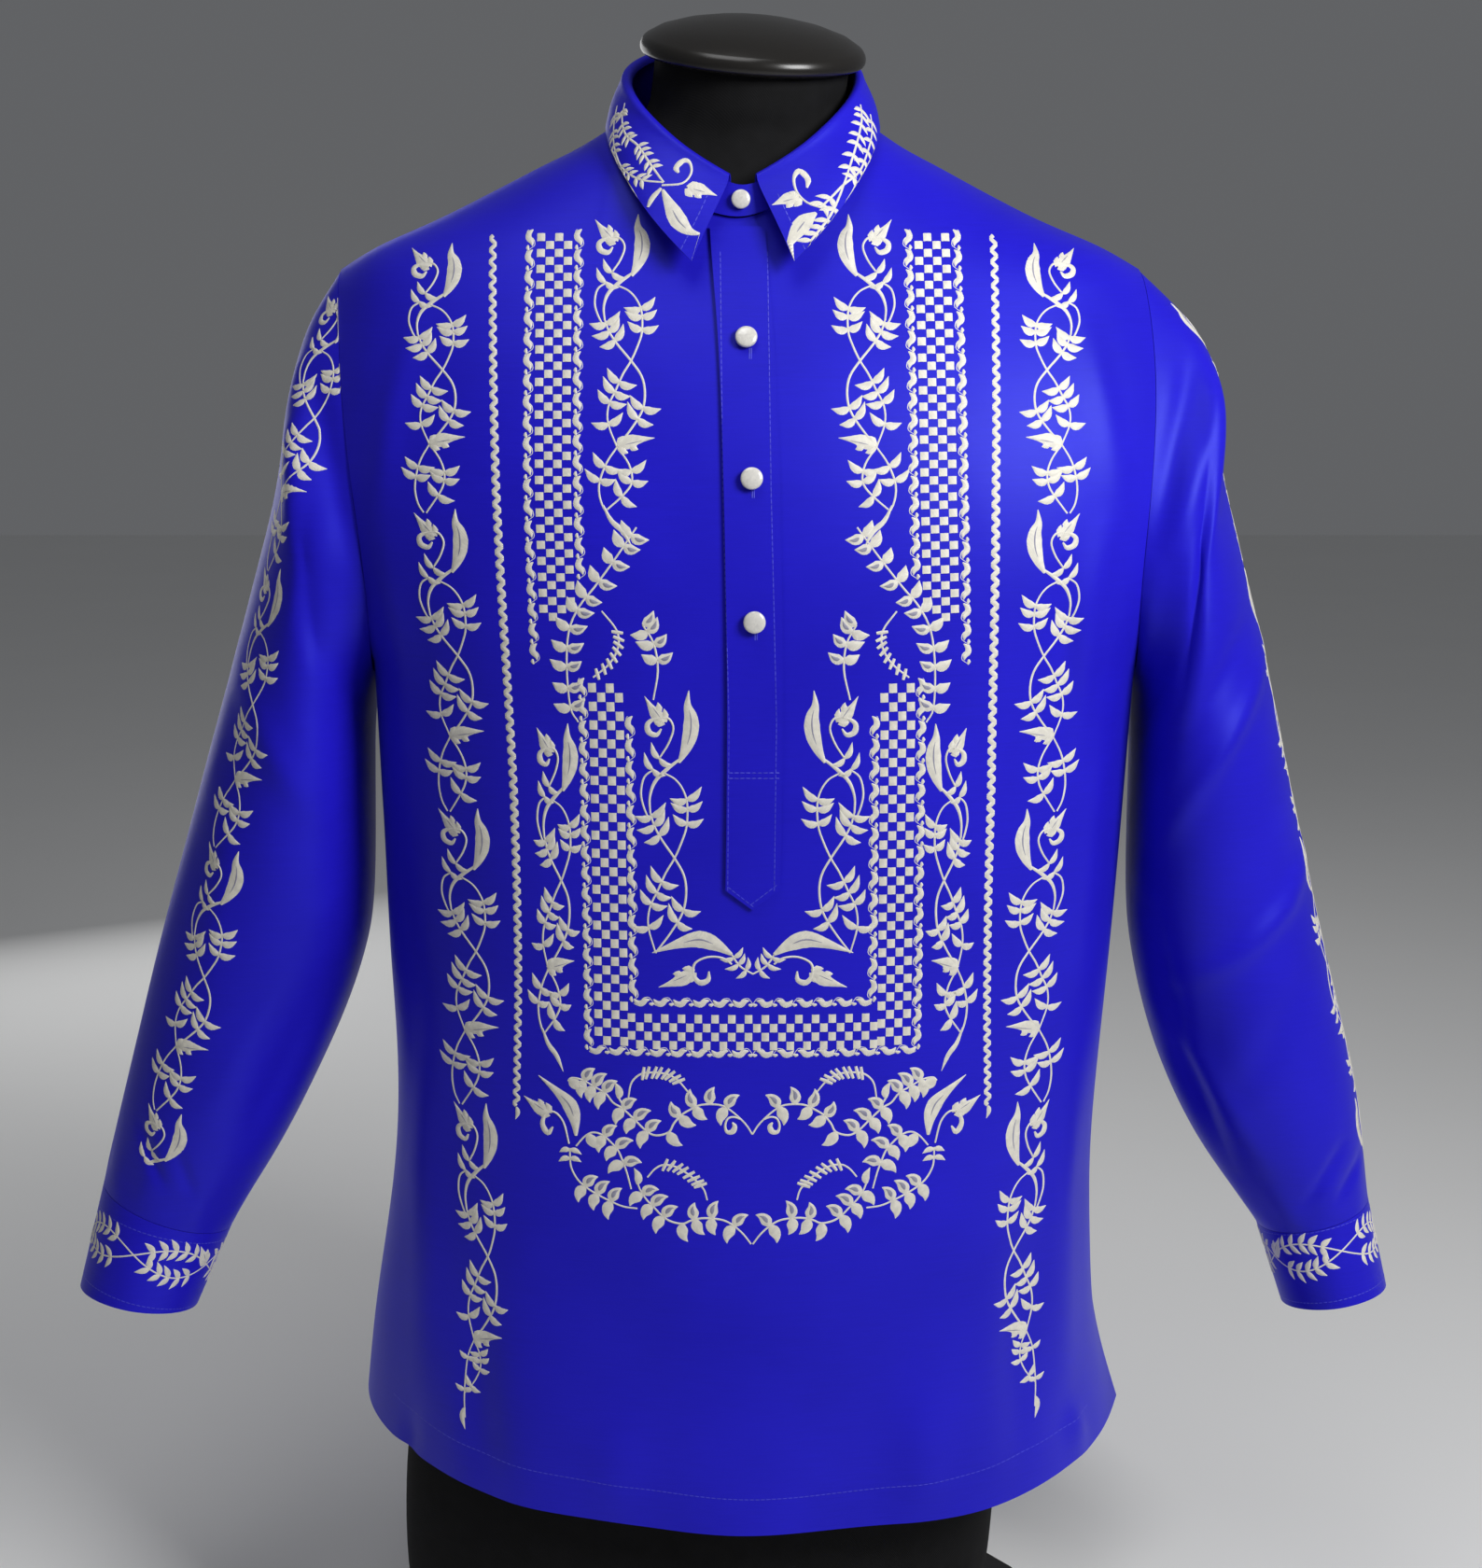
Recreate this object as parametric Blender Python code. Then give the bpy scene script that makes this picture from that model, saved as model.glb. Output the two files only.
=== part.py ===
"""A barong tagalog, the embroidered Filipino pullover shirt, worn by a limbless dress form.

The shirt is cut and sewn from a front with a half placket, a back, two sleeves, two cuffs, a collar stand and a
collar leaf. Each cut piece is one closed wall of cloth, 0.3 mm from its neighbour at the seam. The cloth hangs on a
smooth form with a domed neck cap, and the form stands on an oval board.

The frame is in metres, +Z up. The front faces -Y, and the side seams and shoulder seams lie in the plane y = 0.
"""

import math
from collections import namedtuple

import bmesh
import bpy
from mathutils import Vector

# ---------------------------------------------------------------- driving dimensions

CLOTH = 0.0015  # thickness of the cloth wall, with its seam allowances
SEAM_GAP = 0.0003  # clear space between two pieces at a seam

BOARD_THICKNESS = 0.025
HEM_Z = 0.1750  # the hem at the centre front and back
HEM_RISE_LEFT, HEM_RISE_RIGHT = 0.0100, 0.0105  # the worn hem rides up towards the side seams
HEM_CORNER_RIGHT = 0.0155  # and a little more at the right corner
UNDERARM_Z = 0.645
SHOULDER_TIP_X, SHOULDER_TIP_Z = 0.2260, 0.8755
ARMHOLE_SCOOP_FRONT, ARMHOLE_SCOOP_BACK = 0.0120, 0.0080
NECK_POINT_X, NECK_POINT_Z = 0.0690, 0.9563
NECK_FRONT_DEPTH, NECK_BACK_DEPTH = 0.0720, 0.0575  # the neckline is an oval in plan, cut into the shirt's surface
NECK_SHARE = 3 / 7  # the neckline takes this share of a panel's top edge, the shoulders take the rest

VENT_HEIGHT = 0.080  # the side seams are open this far up from the hem
VENT_FLARE_LEFT, VENT_FLARE_RIGHT = 0.0090, 0.0010  # how far the front's lower corners stand out at the vents

PLACKET_HALF_WIDTH = 0.0148
PLACKET_END_Z = 0.547  # where the band's sides end, above its point
PLACKET_POINT = 0.011
PLACKET_LIFT = CLOTH + 1.5 * SEAM_GAP  # how far the band's outer face stands off the front
BUTTON_RADIUS, BUTTON_HEIGHT = 0.0063, 0.0042
PLACKET_BUTTON_Z = (0.838, 0.767, 0.693)
COLLAR_BUTTON_Z = 0.911

BOARD_HALF_WIDTH, BOARD_HALF_DEPTH = 0.205, 0.155

CUFF_OVERLAP = 0.020

# Grid sizes: how finely each cut piece follows its form.
BODY_COLUMNS = 28
BODY_LOW_ROWS = 8
SLEEVE_COLUMNS, SLEEVE_ROWS = 24, 20
CUFF_COLUMNS, CUFF_ROWS = 26, 3
STAND_ROWS, STAND_LAP_COLUMNS = 2, 4
LEAF_ROWS = 3
PLACKET_COLUMNS = 4
BUTTON_SIDES = 12
FORM_COLUMNS = 28
BOARD_COLUMNS = 40

# ---------------------------------------------------------------- sections of the worn shirt

Section = namedtuple("Section", "name z half_width middle front_depth back_depth roundness")

# Level rings round the shirt. Above the underarm the ring runs on past the armhole, inside the sleeve, so the
# half width there is wider than the panel. The middle is the ring's centre in x: the shirt hangs a little aside at
# the waist. A roundness of 2 is an ellipse and more is squarer.
SHIRT = (
    Section("hem", 0.165, 0.2335, 0.0000, 0.152, 0.150, 2.10),
    Section("vent", 0.205, 0.2265, -0.0060, 0.149, 0.147, 2.20),
    Section("seat", 0.245, 0.2222, -0.0065, 0.146, 0.143, 2.30),
    Section("hip", 0.300, 0.2157, -0.0025, 0.141, 0.138, 2.35),
    Section("below waist", 0.335, 0.2132, -0.0010, 0.139, 0.130, 2.40),
    Section("waist", 0.370, 0.2095, 0.0008, 0.137, 0.124, 2.40),
    Section("above waist", 0.405, 0.2103, 0.0030, 0.135, 0.118, 2.40),
    Section("ribs", 0.490, 0.2152, 0.0042, 0.133, 0.112, 2.45),
    Section("chest", 0.580, 0.2180, 0.0060, 0.134, 0.112, 2.50),
    Section("underarm", 0.645, 0.2205, 0.0065, 0.135, 0.116, 2.50),
    Section("bust line", 0.700, 0.2400, 0.0060, 0.134, 0.119, 2.45),
    Section("blades", 0.760, 0.2525, 0.0048, 0.127, 0.121, 2.35),
    Section("collar bone", 0.815, 0.2470, 0.0030, 0.110, 0.113, 2.25),
    Section("shoulder", 0.850, 0.2365, 0.0010, 0.093, 0.100, 2.15),
    Section("tip", 0.8755, 0.2260, -0.0015, 0.080, 0.089, 2.10),
    Section("slope", 0.9042, 0.1660, -0.0030, 0.0705, 0.080, 1.95),
    Section("neck base", 0.9313, 0.1125, -0.0020, 0.061, 0.069, 1.75),
    Section("neck point", 0.9563, 0.0690, 0.0000, 0.054, 0.060, 1.75),
    Section("neck", 0.9750, 0.0665, 0.0000, 0.050, 0.056, 1.90),
)

# The same for the dress form, which leans a little to the right at its foot and stays clear of the cloth.
FORM = (
    Section("bottom", 0.0253, 0.174, -0.030, 0.104, 0.108, 2.30),
    Section("thigh", 0.070, 0.185, -0.029, 0.114, 0.121, 2.30),
    Section("seat", 0.150, 0.187, -0.026, 0.119, 0.129, 2.30),
    Section("hip", 0.230, 0.178, -0.020, 0.116, 0.122, 2.30),
    Section("waist", 0.370, 0.158, -0.008, 0.104, 0.095, 2.30),
    Section("ribs", 0.490, 0.168, 0.001, 0.113, 0.098, 2.40),
    Section("chest", 0.600, 0.188, 0.003, 0.124, 0.106, 2.45),
    Section("breast", 0.700, 0.200, 0.003, 0.127, 0.112, 2.40),
    Section("blades", 0.760, 0.204, 0.002, 0.119, 0.113, 2.30),
    Section("collar bone", 0.815, 0.207, 0.001, 0.103, 0.106, 2.20),
    Section("shoulder", 0.850, 0.2090, 0.000, 0.0865, 0.0935, 2.12),
    Section("tip", 0.8715, 0.2055, -0.001, 0.0750, 0.0840, 2.10),
    Section("slope", 0.9042, 0.1591, -0.003, 0.0645, 0.0740, 1.95),
    Section("neck base", 0.9313, 0.1020, -0.002, 0.0545, 0.0615, 1.75),
    Section("neck root", 0.9460, 0.0710, -0.001, 0.0525, 0.0575, 1.78),
    Section("neck", 0.9560, 0.0600, 0.001, 0.0530, 0.0560, 2.00),
)


def curve_through(knots, values):
    """A smooth curve through the knots that never overshoots them, as a function of one number."""
    spans = [b - a for a, b in zip(knots, knots[1:])]
    slopes = [(b - a) / span for a, b, span in zip(values, values[1:], spans)]
    tangents = [slopes[0]]
    for before, after in zip(slopes, slopes[1:]):
        rising = before * after > 0
        tangents.append(2 * before * after / (before + after) if rising else 0.0)
    tangents.append(slopes[-1])

    def value(at):
        at = min(max(at, knots[0]), knots[-1])
        i = max(k for k in range(len(spans)) if knots[k] <= at or k == 0)
        share = (at - knots[i]) / spans[i]
        rest = 1 - share
        return (
            values[i] * (1 + 2 * share) * rest**2
            + tangents[i] * spans[i] * share * rest**2
            + values[i + 1] * (3 - 2 * share) * share**2
            - tangents[i + 1] * spans[i] * share**2 * rest
        )

    return value


class Body:
    """The smooth surface through a table of level sections."""

    def __init__(self, table):
        heights = [row.z for row in table]
        for column in Section._fields[2:]:
            setattr(self, column, curve_through(heights, [getattr(row, column) for row in table]))

    def y(self, x, z, side):
        """The surface's y at x and z: side -1 is the front and +1 the back."""
        depth = self.front_depth(z) if side < 0 else self.back_depth(z)
        share = min(1.0, abs(x - self.middle(z)) / self.half_width(z))
        return side * depth * (1 - share ** self.roundness(z)) ** (1 / self.roundness(z))


SHIRT_BODY = Body(SHIRT)
FORM_BODY = Body(FORM)


def ease(share):
    """0 to 1 with level ends."""
    share = min(max(share, 0.0), 1.0)
    return share * share * (3 - 2 * share)


def bump(at, centre, width):
    """1 at the centre, falling smoothly to nothing about two widths away."""
    return math.exp(-(((at - centre) / width) ** 2))


# ---------------------------------------------------------------- cloth walls


def grid_normals(points, closed):
    """The outward normal at each point of a grid: rows run up or along, columns run across."""
    rows, columns = len(points), len(points[0])
    normals = []
    for i in range(rows):
        line = []
        for j in range(columns):
            up = points[min(i + 1, rows - 1)][j] - points[max(i - 1, 0)][j]
            after, before = (j + 1) % columns, (j - 1) % columns
            if not closed:
                after, before = min(j + 1, columns - 1), max(j - 1, 0)
            across = points[i][after] - points[i][before]
            line.append(across.cross(up).normalized())
        normals.append(line)
    return normals


def flatten(normals, cells, axis):
    """Takes one component out of the normals at these cells, so that the wall's edge is square to the seam."""
    for i, j in cells:
        normals[i][j][axis] = 0.0
        normals[i][j].normalize()


def cloth_wall(name, points, normals, material, closed=False, lift=0.0, thickness=CLOTH):
    """One closed solid: the grid is its outer face, lifted along the normals, and the wall goes inwards."""
    rows, columns = len(points), len(points[0])
    mesh = bmesh.new()
    outer, inner = [], []
    for skin, depth in ((outer, lift), (inner, lift - thickness)):
        for i in range(rows):
            skin.append([mesh.verts.new(points[i][j] + normals[i][j] * depth) for j in range(columns)])
    steps = columns if closed else columns - 1
    for i in range(rows - 1):
        for j in range(steps):
            k = (j + 1) % columns
            mesh.faces.new((outer[i][j], outer[i][k], outer[i + 1][k], outer[i + 1][j]))
            mesh.faces.new((inner[i + 1][j], inner[i + 1][k], inner[i][k], inner[i][j]))
    for j in range(steps):
        k = (j + 1) % columns
        mesh.faces.new((inner[0][j], inner[0][k], outer[0][k], outer[0][j]))
        mesh.faces.new((outer[-1][j], outer[-1][k], inner[-1][k], inner[-1][j]))
    if not closed:
        for i in range(rows - 1):
            mesh.faces.new((outer[i][0], outer[i + 1][0], inner[i + 1][0], inner[i][0]))
            mesh.faces.new((inner[i][-1], inner[i + 1][-1], outer[i + 1][-1], outer[i][-1]))
    return finish(name, mesh, material)


def finish(name, mesh, material, smooth_angle=50):
    """Turns a bmesh into a named object with its material."""
    data = bpy.data.meshes.new(name)
    mesh.to_mesh(data)
    mesh.free()
    data.materials.append(material)
    data.shade_smooth()
    data.set_sharp_from_angle(angle=math.radians(smooth_angle))
    part = bpy.data.objects.new(name, data)
    bpy.context.scene.collection.objects.link(part)
    return part


# ---------------------------------------------------------------- front and back


def surface_z(x, y, side, low, high):
    """The height, between two limits, at which the shirt's narrowing surface passes over x and y."""
    for _ in range(40):
        middle = (low + high) / 2
        level = abs(SHIRT_BODY.y(x + SHIRT_BODY.middle(middle), middle, side))
        inside = SHIRT_BODY.half_width(middle) > x and level > y
        low, high = (middle, high) if inside else (low, middle)
    return (low + high) / 2


def top_edge(share, side):
    """(x, z) of the panel's top edge: the neckline near the centre, then the shoulder seam."""
    share = abs(share)
    if share < NECK_SHARE:
        turn = share / NECK_SHARE * math.pi / 2
        x = NECK_POINT_X * math.sin(turn)
        if side < 0:
            return x, surface_z(x, NECK_FRONT_DEPTH * math.cos(turn), side, 0.87, NECK_POINT_Z)
        return x, surface_z(x, NECK_BACK_DEPTH * math.cos(turn), side, 0.92, 0.975)
    along = (share - NECK_SHARE) / (1 - NECK_SHARE)
    x = NECK_POINT_X + (SHOULDER_TIP_X - NECK_POINT_X) * along
    return x, surface_z(x, 0.0, side, SHOULDER_TIP_Z - 0.001, NECK_POINT_Z)


def panel_half_width(z, side):
    """Half the panel's width: the side seam, then the armhole, which is scooped in on its way to the shoulder."""
    if z <= UNDERARM_Z:
        return SHIRT_BODY.half_width(z)
    rise = (z - UNDERARM_Z) / (SHOULDER_TIP_Z - UNDERARM_Z)
    straight = SHIRT_BODY.half_width(UNDERARM_Z) * (1 - rise) + SHOULDER_TIP_X * rise
    scoop = ARMHOLE_SCOOP_FRONT if side < 0 else ARMHOLE_SCOOP_BACK
    return straight - scoop * math.sin(math.pi * min(1.0, rise) ** 0.75)


def hem_z(share):
    """The hem's height at a share of the panel's half width: it rises later on the left than on the right."""
    if share > 0:
        return HEM_Z + HEM_RISE_LEFT * ease((share - 0.3) / 0.7)
    return HEM_Z + HEM_RISE_RIGHT * ease(-share / 0.6) + HEM_CORNER_RIGHT * ease((-share - 0.35) / 0.65)


def drape(x, z, side):
    """How far the hanging cloth stands off its level section: soft flutes that grow towards the hem."""
    if side < 0:
        fall = ease((0.42 - z) / (0.42 - HEM_Z))
        return 0.0030 * fall * math.cos(x / 0.205 * 3 * math.pi)
    fall = ease((0.72 - z) / (0.72 - HEM_Z))
    return 0.0055 * fall * math.cos(x / 0.205 * 4 * math.pi)


def panel_point(share, row, side):
    """A point of the front or back: share runs -1 to 1 across, row 0 to 1 to 2 from hem to underarm to top."""
    across = math.sin(abs(share) * math.pi / 2)
    if row <= 1:
        z = hem_z(share) + (UNDERARM_Z - hem_z(share)) * row
        x = panel_half_width(z, side) * across
    else:
        top_x, top_z = top_edge(share, side)
        climbed = 1 - (2 - row) ** 2
        z = UNDERARM_Z + (top_z - UNDERARM_Z) * climbed
        wide = panel_half_width(min(z, SHOULDER_TIP_Z), side) * across
        x = min(wide + (top_x - wide) * ease(climbed), SHIRT_BODY.half_width(z))
    flare = VENT_FLARE_LEFT if share > 0 else VENT_FLARE_RIGHT
    corner = abs(share) ** 10 * ease((HEM_Z + VENT_HEIGHT - z) / VENT_HEIGHT)
    x = math.copysign(x, share) + SHIRT_BODY.middle(z)
    y = SHIRT_BODY.y(x, z, side) + side * drape(x, z, side) * (1 - abs(share) ** 6)
    if side < 0:
        x += math.copysign(flare * corner, share)
    return Vector((x, y + side * SEAM_GAP * (0.6 + 4 * corner), z))


def armhole_row(turn):
    """The panel's row that meets the sleeve at a turn: 2 at the shoulder tip and 1 at the underarm."""
    return 2 - abs(math.sin(turn / 2))


def panel_rows():
    """Rows from hem to underarm, then rows that meet the sleeve's own corners round the armhole."""
    low = [i / BODY_LOW_ROWS for i in range(BODY_LOW_ROWS)]
    half = SLEEVE_COLUMNS // 2
    return low + [armhole_row(math.pi * k / half) for k in range(half, -1, -1) if k != half - 1]


def body_panel(name, side, material):
    """The front or the back, one piece from hem to shoulder seam."""
    shares = [side * (1 - 2 * j / BODY_COLUMNS) for j in range(BODY_COLUMNS + 1)]
    points = [[panel_point(share, row, side) for share in shares] for row in panel_rows()]
    normals = grid_normals(points, closed=False)
    last_row, last_column = len(points) - 1, len(shares) - 1
    low_edges = [(i, j) for i in range(BODY_LOW_ROWS + 1) for j in (0, last_column)]
    shoulder = [(last_row, j) for j in range(last_column + 1) if abs(shares[j]) >= NECK_SHARE - 1e-6]
    flatten(normals, low_edges + shoulder, axis=1)
    return cloth_wall(name, points, normals, material)


# ---------------------------------------------------------------- sleeves and cuffs

Station = namedtuple("Station", "name along out_x out_z in_x in_z y half_depth")

# Rings down each sleeve, at a share of its length from the armhole to the cuff seam. Each runs from an outer point
# to an inner point next to the body, both in x and z, and is half_depth deep to the front and to the back of y.
LEFT_SLEEVE = (
    Station("armhole", 0.00, 0.2265, 0.8755, 0.2270, 0.645, 0.000, 0.072),
    Station("head", 0.07, 0.2586, 0.8434, 0.2290, 0.634, 0.000, 0.079),
    Station("head roll", 0.12, 0.2705, 0.8156, 0.2298, 0.621, -0.001, 0.084),
    Station("under roll", 0.17, 0.2695, 0.7869, 0.2300, 0.606, -0.001, 0.086),
    Station("cap end", 0.22, 0.2768, 0.7563, 0.2300, 0.588, -0.002, 0.086),
    Station("upper arm", 0.30, 0.2893, 0.7099, 0.2296, 0.559, -0.003, 0.084),
    Station("biceps", 0.39, 0.3046, 0.6557, 0.2292, 0.527, -0.004, 0.080),
    Station("above elbow", 0.485, 0.3177, 0.5995, 0.2300, 0.499, -0.005, 0.076),
    Station("elbow", 0.58, 0.3317, 0.5431, 0.2337, 0.472, -0.006, 0.071),
    Station("forearm", 0.68, 0.3461, 0.4855, 0.2430, 0.434, -0.008, 0.067),
    Station("mid forearm", 0.76, 0.3580, 0.4413, 0.2538, 0.404, -0.010, 0.063),
    Station("above wrist", 0.84, 0.3694, 0.3972, 0.2719, 0.367, -0.012, 0.058),
    Station("wrist", 0.92, 0.3756, 0.3580, 0.2949, 0.333, -0.014, 0.051),
    Station("cuff seam", 1.00, 0.3796, 0.3269, 0.3137, 0.307, -0.017, 0.0445),
)
RIGHT_SLEEVE = (
    Station("armhole", 0.00, 0.2265, 0.8755, 0.2140, 0.645, 0.000, 0.072),
    Station("head", 0.07, 0.2471, 0.8435, 0.2165, 0.633, 0.000, 0.077),
    Station("head roll", 0.12, 0.2553, 0.8172, 0.2178, 0.621, -0.001, 0.081),
    Station("under roll", 0.17, 0.2605, 0.7909, 0.2182, 0.608, -0.001, 0.084),
    Station("cap end", 0.22, 0.2660, 0.7589, 0.2186, 0.590, -0.002, 0.085),
    Station("upper arm", 0.30, 0.2802, 0.7101, 0.2190, 0.560, -0.003, 0.083),
    Station("biceps", 0.39, 0.2964, 0.6553, 0.2195, 0.527, -0.004, 0.080),
    Station("above elbow", 0.485, 0.3137, 0.5994, 0.2215, 0.497, -0.005, 0.076),
    Station("elbow", 0.58, 0.3307, 0.5428, 0.2266, 0.474, -0.006, 0.071),
    Station("forearm", 0.68, 0.3480, 0.4850, 0.2383, 0.441, -0.008, 0.067),
    Station("mid forearm", 0.76, 0.3610, 0.4367, 0.2550, 0.405, -0.010, 0.063),
    Station("above wrist", 0.84, 0.3721, 0.3960, 0.2751, 0.366, -0.012, 0.058),
    Station("wrist", 0.92, 0.3807, 0.3640, 0.2950, 0.333, -0.014, 0.052),
    Station("cuff seam", 1.00, 0.3875, 0.3364, 0.3119, 0.305, -0.017, 0.0455),
)

# The ring at the open end of each cuff.
LEFT_CUFF_END = Station("cuff end", 1.0, 0.3910, 0.2740, 0.3290, 0.2600, -0.027, 0.0415)
RIGHT_CUFF_END = Station("cuff end", 1.0, 0.4025, 0.2740, 0.3330, 0.2580, -0.027, 0.0425)

Fold = namedtuple("Fold", "name turn_deg along turn_width_deg along_width depth slant_deg")

# Troughs (depth below 0) and ridges in a sleeve. turn is 0 on the outside, 90 at the front and 180 next to the
# body; slant is how far round the fold would turn over the whole length.
LEFT_FOLDS = (
    Fold("head trough", 84, 0.150, 17, 0.075, -0.0120, 340),
    Fold("head ridge", 48, 0.130, 16, 0.070, 0.0040, 240),
    Fold("front ridge", 128, 0.300, 20, 0.110, 0.0030, 160),
    Fold("elbow crease", 128, 0.720, 15, 0.060, -0.0050, 330),
    Fold("elbow ridge", 100, 0.745, 15, 0.070, 0.0030, 330),
    Fold("back trough", 286, 0.170, 19, 0.080, -0.0080, -300),
    Fold("back ridge", 312, 0.180, 16, 0.070, 0.0035, -240),
)
RIGHT_FOLDS = (
    Fold("head trough", 88, 0.170, 18, 0.085, -0.0080, 380),
    Fold("head ridge", 50, 0.150, 17, 0.080, 0.0035, 240),
    Fold("elbow crease", 132, 0.745, 17, 0.070, -0.0045, 300),
    Fold("back trough", 284, 0.160, 19, 0.085, -0.0085, -300),
    Fold("back elbow crease", 236, 0.690, 18, 0.070, -0.0040, -220),
)
CUFF_PLEATS = 9
PLEAT_DEPTH = 0.0014


def armhole_point(turn, hand):
    """A point of the armhole: turn 0 is the shoulder tip, a quarter turn is its front, half a turn the underarm."""
    side = -1 if math.sin(turn) >= 0 else 1
    point = panel_point(hand, armhole_row(turn), side)
    point.y -= side * SEAM_GAP * 0.6
    return point


def station_at(stations, along):
    """The ring at any share of the sleeve's length."""
    knots = [station.along for station in stations]
    columns = [curve_through(knots, [station[i] for station in stations])(along) for i in range(2, 8)]
    return Station("between", along, *columns)


def ring_point(station, axis, turn, hand, swell=0.0):
    """A point of a ring: an oval whose plane holds its outer and inner points and is square to the axis."""
    outer = Vector((hand * station.out_x, station.y, station.out_z))
    inner = Vector((hand * station.in_x, station.y, station.in_z))
    across = (outer - inner) / 2
    forward = across.cross(axis).normalized()
    if forward.y > 0:
        forward = -forward
    wide = across * (1 + swell / across.length)
    return (outer + inner) / 2 + wide * math.cos(turn) + forward * (station.half_depth + swell) * math.sin(turn)


def ring_plane(station, axis, hand):
    """The direction square to a ring, up the sleeve."""
    front = ring_point(station, axis, math.pi / 2, hand) - middle(station, hand)
    outside = ring_point(station, axis, 0.0, hand) - middle(station, hand)
    square = front.cross(outside).normalized()
    return square if square.dot(axis) < 0 else -square


def square_to(direction, normals):
    """The normals turned square to a direction, so that a wall ends flat against its neighbour."""
    return [(normal - direction * normal.dot(direction)).normalized() for normal in normals]


def middle(station, hand):
    return Vector((hand * (station.out_x + station.in_x) / 2, station.y, (station.out_z + station.in_z) / 2))


def sleeve_axis(stations, along, hand):
    """The sleeve's direction, down towards the cuff. At the armhole it is level, so that the ring is upright."""
    before = station_at(stations, max(0.0, along - 0.03))
    after = station_at(stations, min(1.0, along + 0.03))
    axis = (middle(after, hand) - middle(before, hand)).normalized()
    axis.y *= ease(along / 0.4)
    return axis.normalized()


def fold_height(folds, turn, along):
    """How far the folds move the cloth out of the smooth tube."""
    total = 0.0
    for fold in folds:
        centre = fold.turn_deg + fold.slant_deg * (along - fold.along)
        away = (math.degrees(turn) - centre + 180) % 360 - 180
        total += fold.depth * bump(away, 0, fold.turn_width_deg) * bump(along, fold.along, fold.along_width)
    from_body = abs((math.degrees(turn) + 360) % 360 - 180)
    return total * ease(from_body / 45)


def sleeve_ring(stations, along, hand, turns):
    """One ring of the smooth sleeve. Near the armhole it takes the armhole's own shape."""
    axis = sleeve_axis(stations, along, hand)
    station = station_at(stations, along)
    start = stations[0]
    level = Vector((hand, 0.0, 0.0))
    keep = 1 - ease(along / 0.16)
    ring = []
    for turn in turns:
        own = armhole_point(turn, hand) - ring_point(start, level, turn, hand)
        point = ring_point(station, axis, turn, hand) + own * keep
        ring.append(point + level * SEAM_GAP * keep)
    return ring


def sleeve(name, hand, stations, folds, material):
    """One sleeve: a cap that rolls over the shoulder tip, then a tube down to the cuff seam."""
    turns = [-hand * 2 * math.pi * j / SLEEVE_COLUMNS for j in range(SLEEVE_COLUMNS)]
    steps = [1 - i / SLEEVE_ROWS for i in range(SLEEVE_ROWS + 1)]
    alongs = [step - 0.06 * math.sin(2 * math.pi * step) for step in steps]
    points = [sleeve_ring(stations, along, hand, turns) for along in alongs]
    smooth = grid_normals(points, closed=True)
    for i, along in enumerate(alongs):
        ends = ease(along / 0.07) * ease((1 - along) / 0.06)
        pleats = PLEAT_DEPTH * ease((along - 0.88) / 0.07) * ease((1 - along) / 0.025)
        for j, turn in enumerate(turns):
            height = fold_height(folds, turn, along) * ends + pleats * math.cos(CUFF_PLEATS * turn)
            points[i][j] = points[i][j] + smooth[i][j] * height
    up_sleeve = ring_plane(stations[-1], sleeve_axis(stations, 1.0, hand), hand)
    points[0] = [point + up_sleeve * SEAM_GAP for point in points[0]]
    normals = grid_normals(points, closed=True)
    normals[0] = square_to(up_sleeve, normals[0])
    normals[-1] = square_to(Vector((1.0, 0.0, 0.0)), normals[-1])
    return cloth_wall(name, points, normals, material, closed=True)


CUFF_LAP_TURN = math.radians(-80)  # the cuff's buttoned lap is at the back of the wrist
CUFF_LIFT = CLOTH + 2 * SEAM_GAP


def cuff_point(stations, end, hand, down, turned):
    """A point of a cuff: down is 0 at its seam and 1 at its open end, turned goes round from the inner end."""
    seam = stations[-1]
    ring = Station("cuff ring", 1.0, *(a + (b - a) * down for a, b in zip(seam[2:], end[2:])))
    own_axis = (middle(end, hand) - middle(seam, hand)).normalized()
    axis = sleeve_axis(stations, 1.0, hand).lerp(own_axis, down)
    lift = CUFF_LIFT * ease((turned - 2 * math.pi + 0.45) / 0.4)
    return ring_point(ring, axis, CUFF_LAP_TURN - hand * turned, hand, lift)


def cuff_grid(hand, stations, end):
    """A strip wrapped round the wrist. Its free end laps over the other one at the back."""
    whole = 2 * math.pi + CUFF_OVERLAP / end.half_depth
    return [[cuff_point(stations, end, hand, i / CUFF_ROWS, whole * j / CUFF_COLUMNS)
             for j in range(CUFF_COLUMNS + 1)] for i in range(CUFF_ROWS, -1, -1)]


def cuff(name, hand, stations, end, material):
    points = cuff_grid(hand, stations, end)
    normals = grid_normals(points, closed=False)
    up_sleeve = ring_plane(stations[-1], sleeve_axis(stations, 1.0, hand), hand)
    normals[-1] = square_to(up_sleeve, normals[-1])
    return cloth_wall(name, points, normals, material)


def cuff_button(name, hand, stations, end, material):
    """One button in the middle of the cuff's outer lap."""
    points = cuff_grid(hand, stations, end)
    low, high = points[1][-3:-1], points[2][-3:-1]
    seat = (low[0] + low[1] + high[0] + high[1]) / 4
    out = (high[1] - low[0]).cross(high[0] - low[1]).normalized()
    if out.y < 0:
        out = -out
    button(name, seat + out * 2 * SEAM_GAP, out, BUTTON_RADIUS, material)


# ---------------------------------------------------------------- collar

CollarRow = namedtuple("CollarRow", "name turn fold_x fold_y fold_z leaf_x leaf_y leaf_z")

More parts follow.
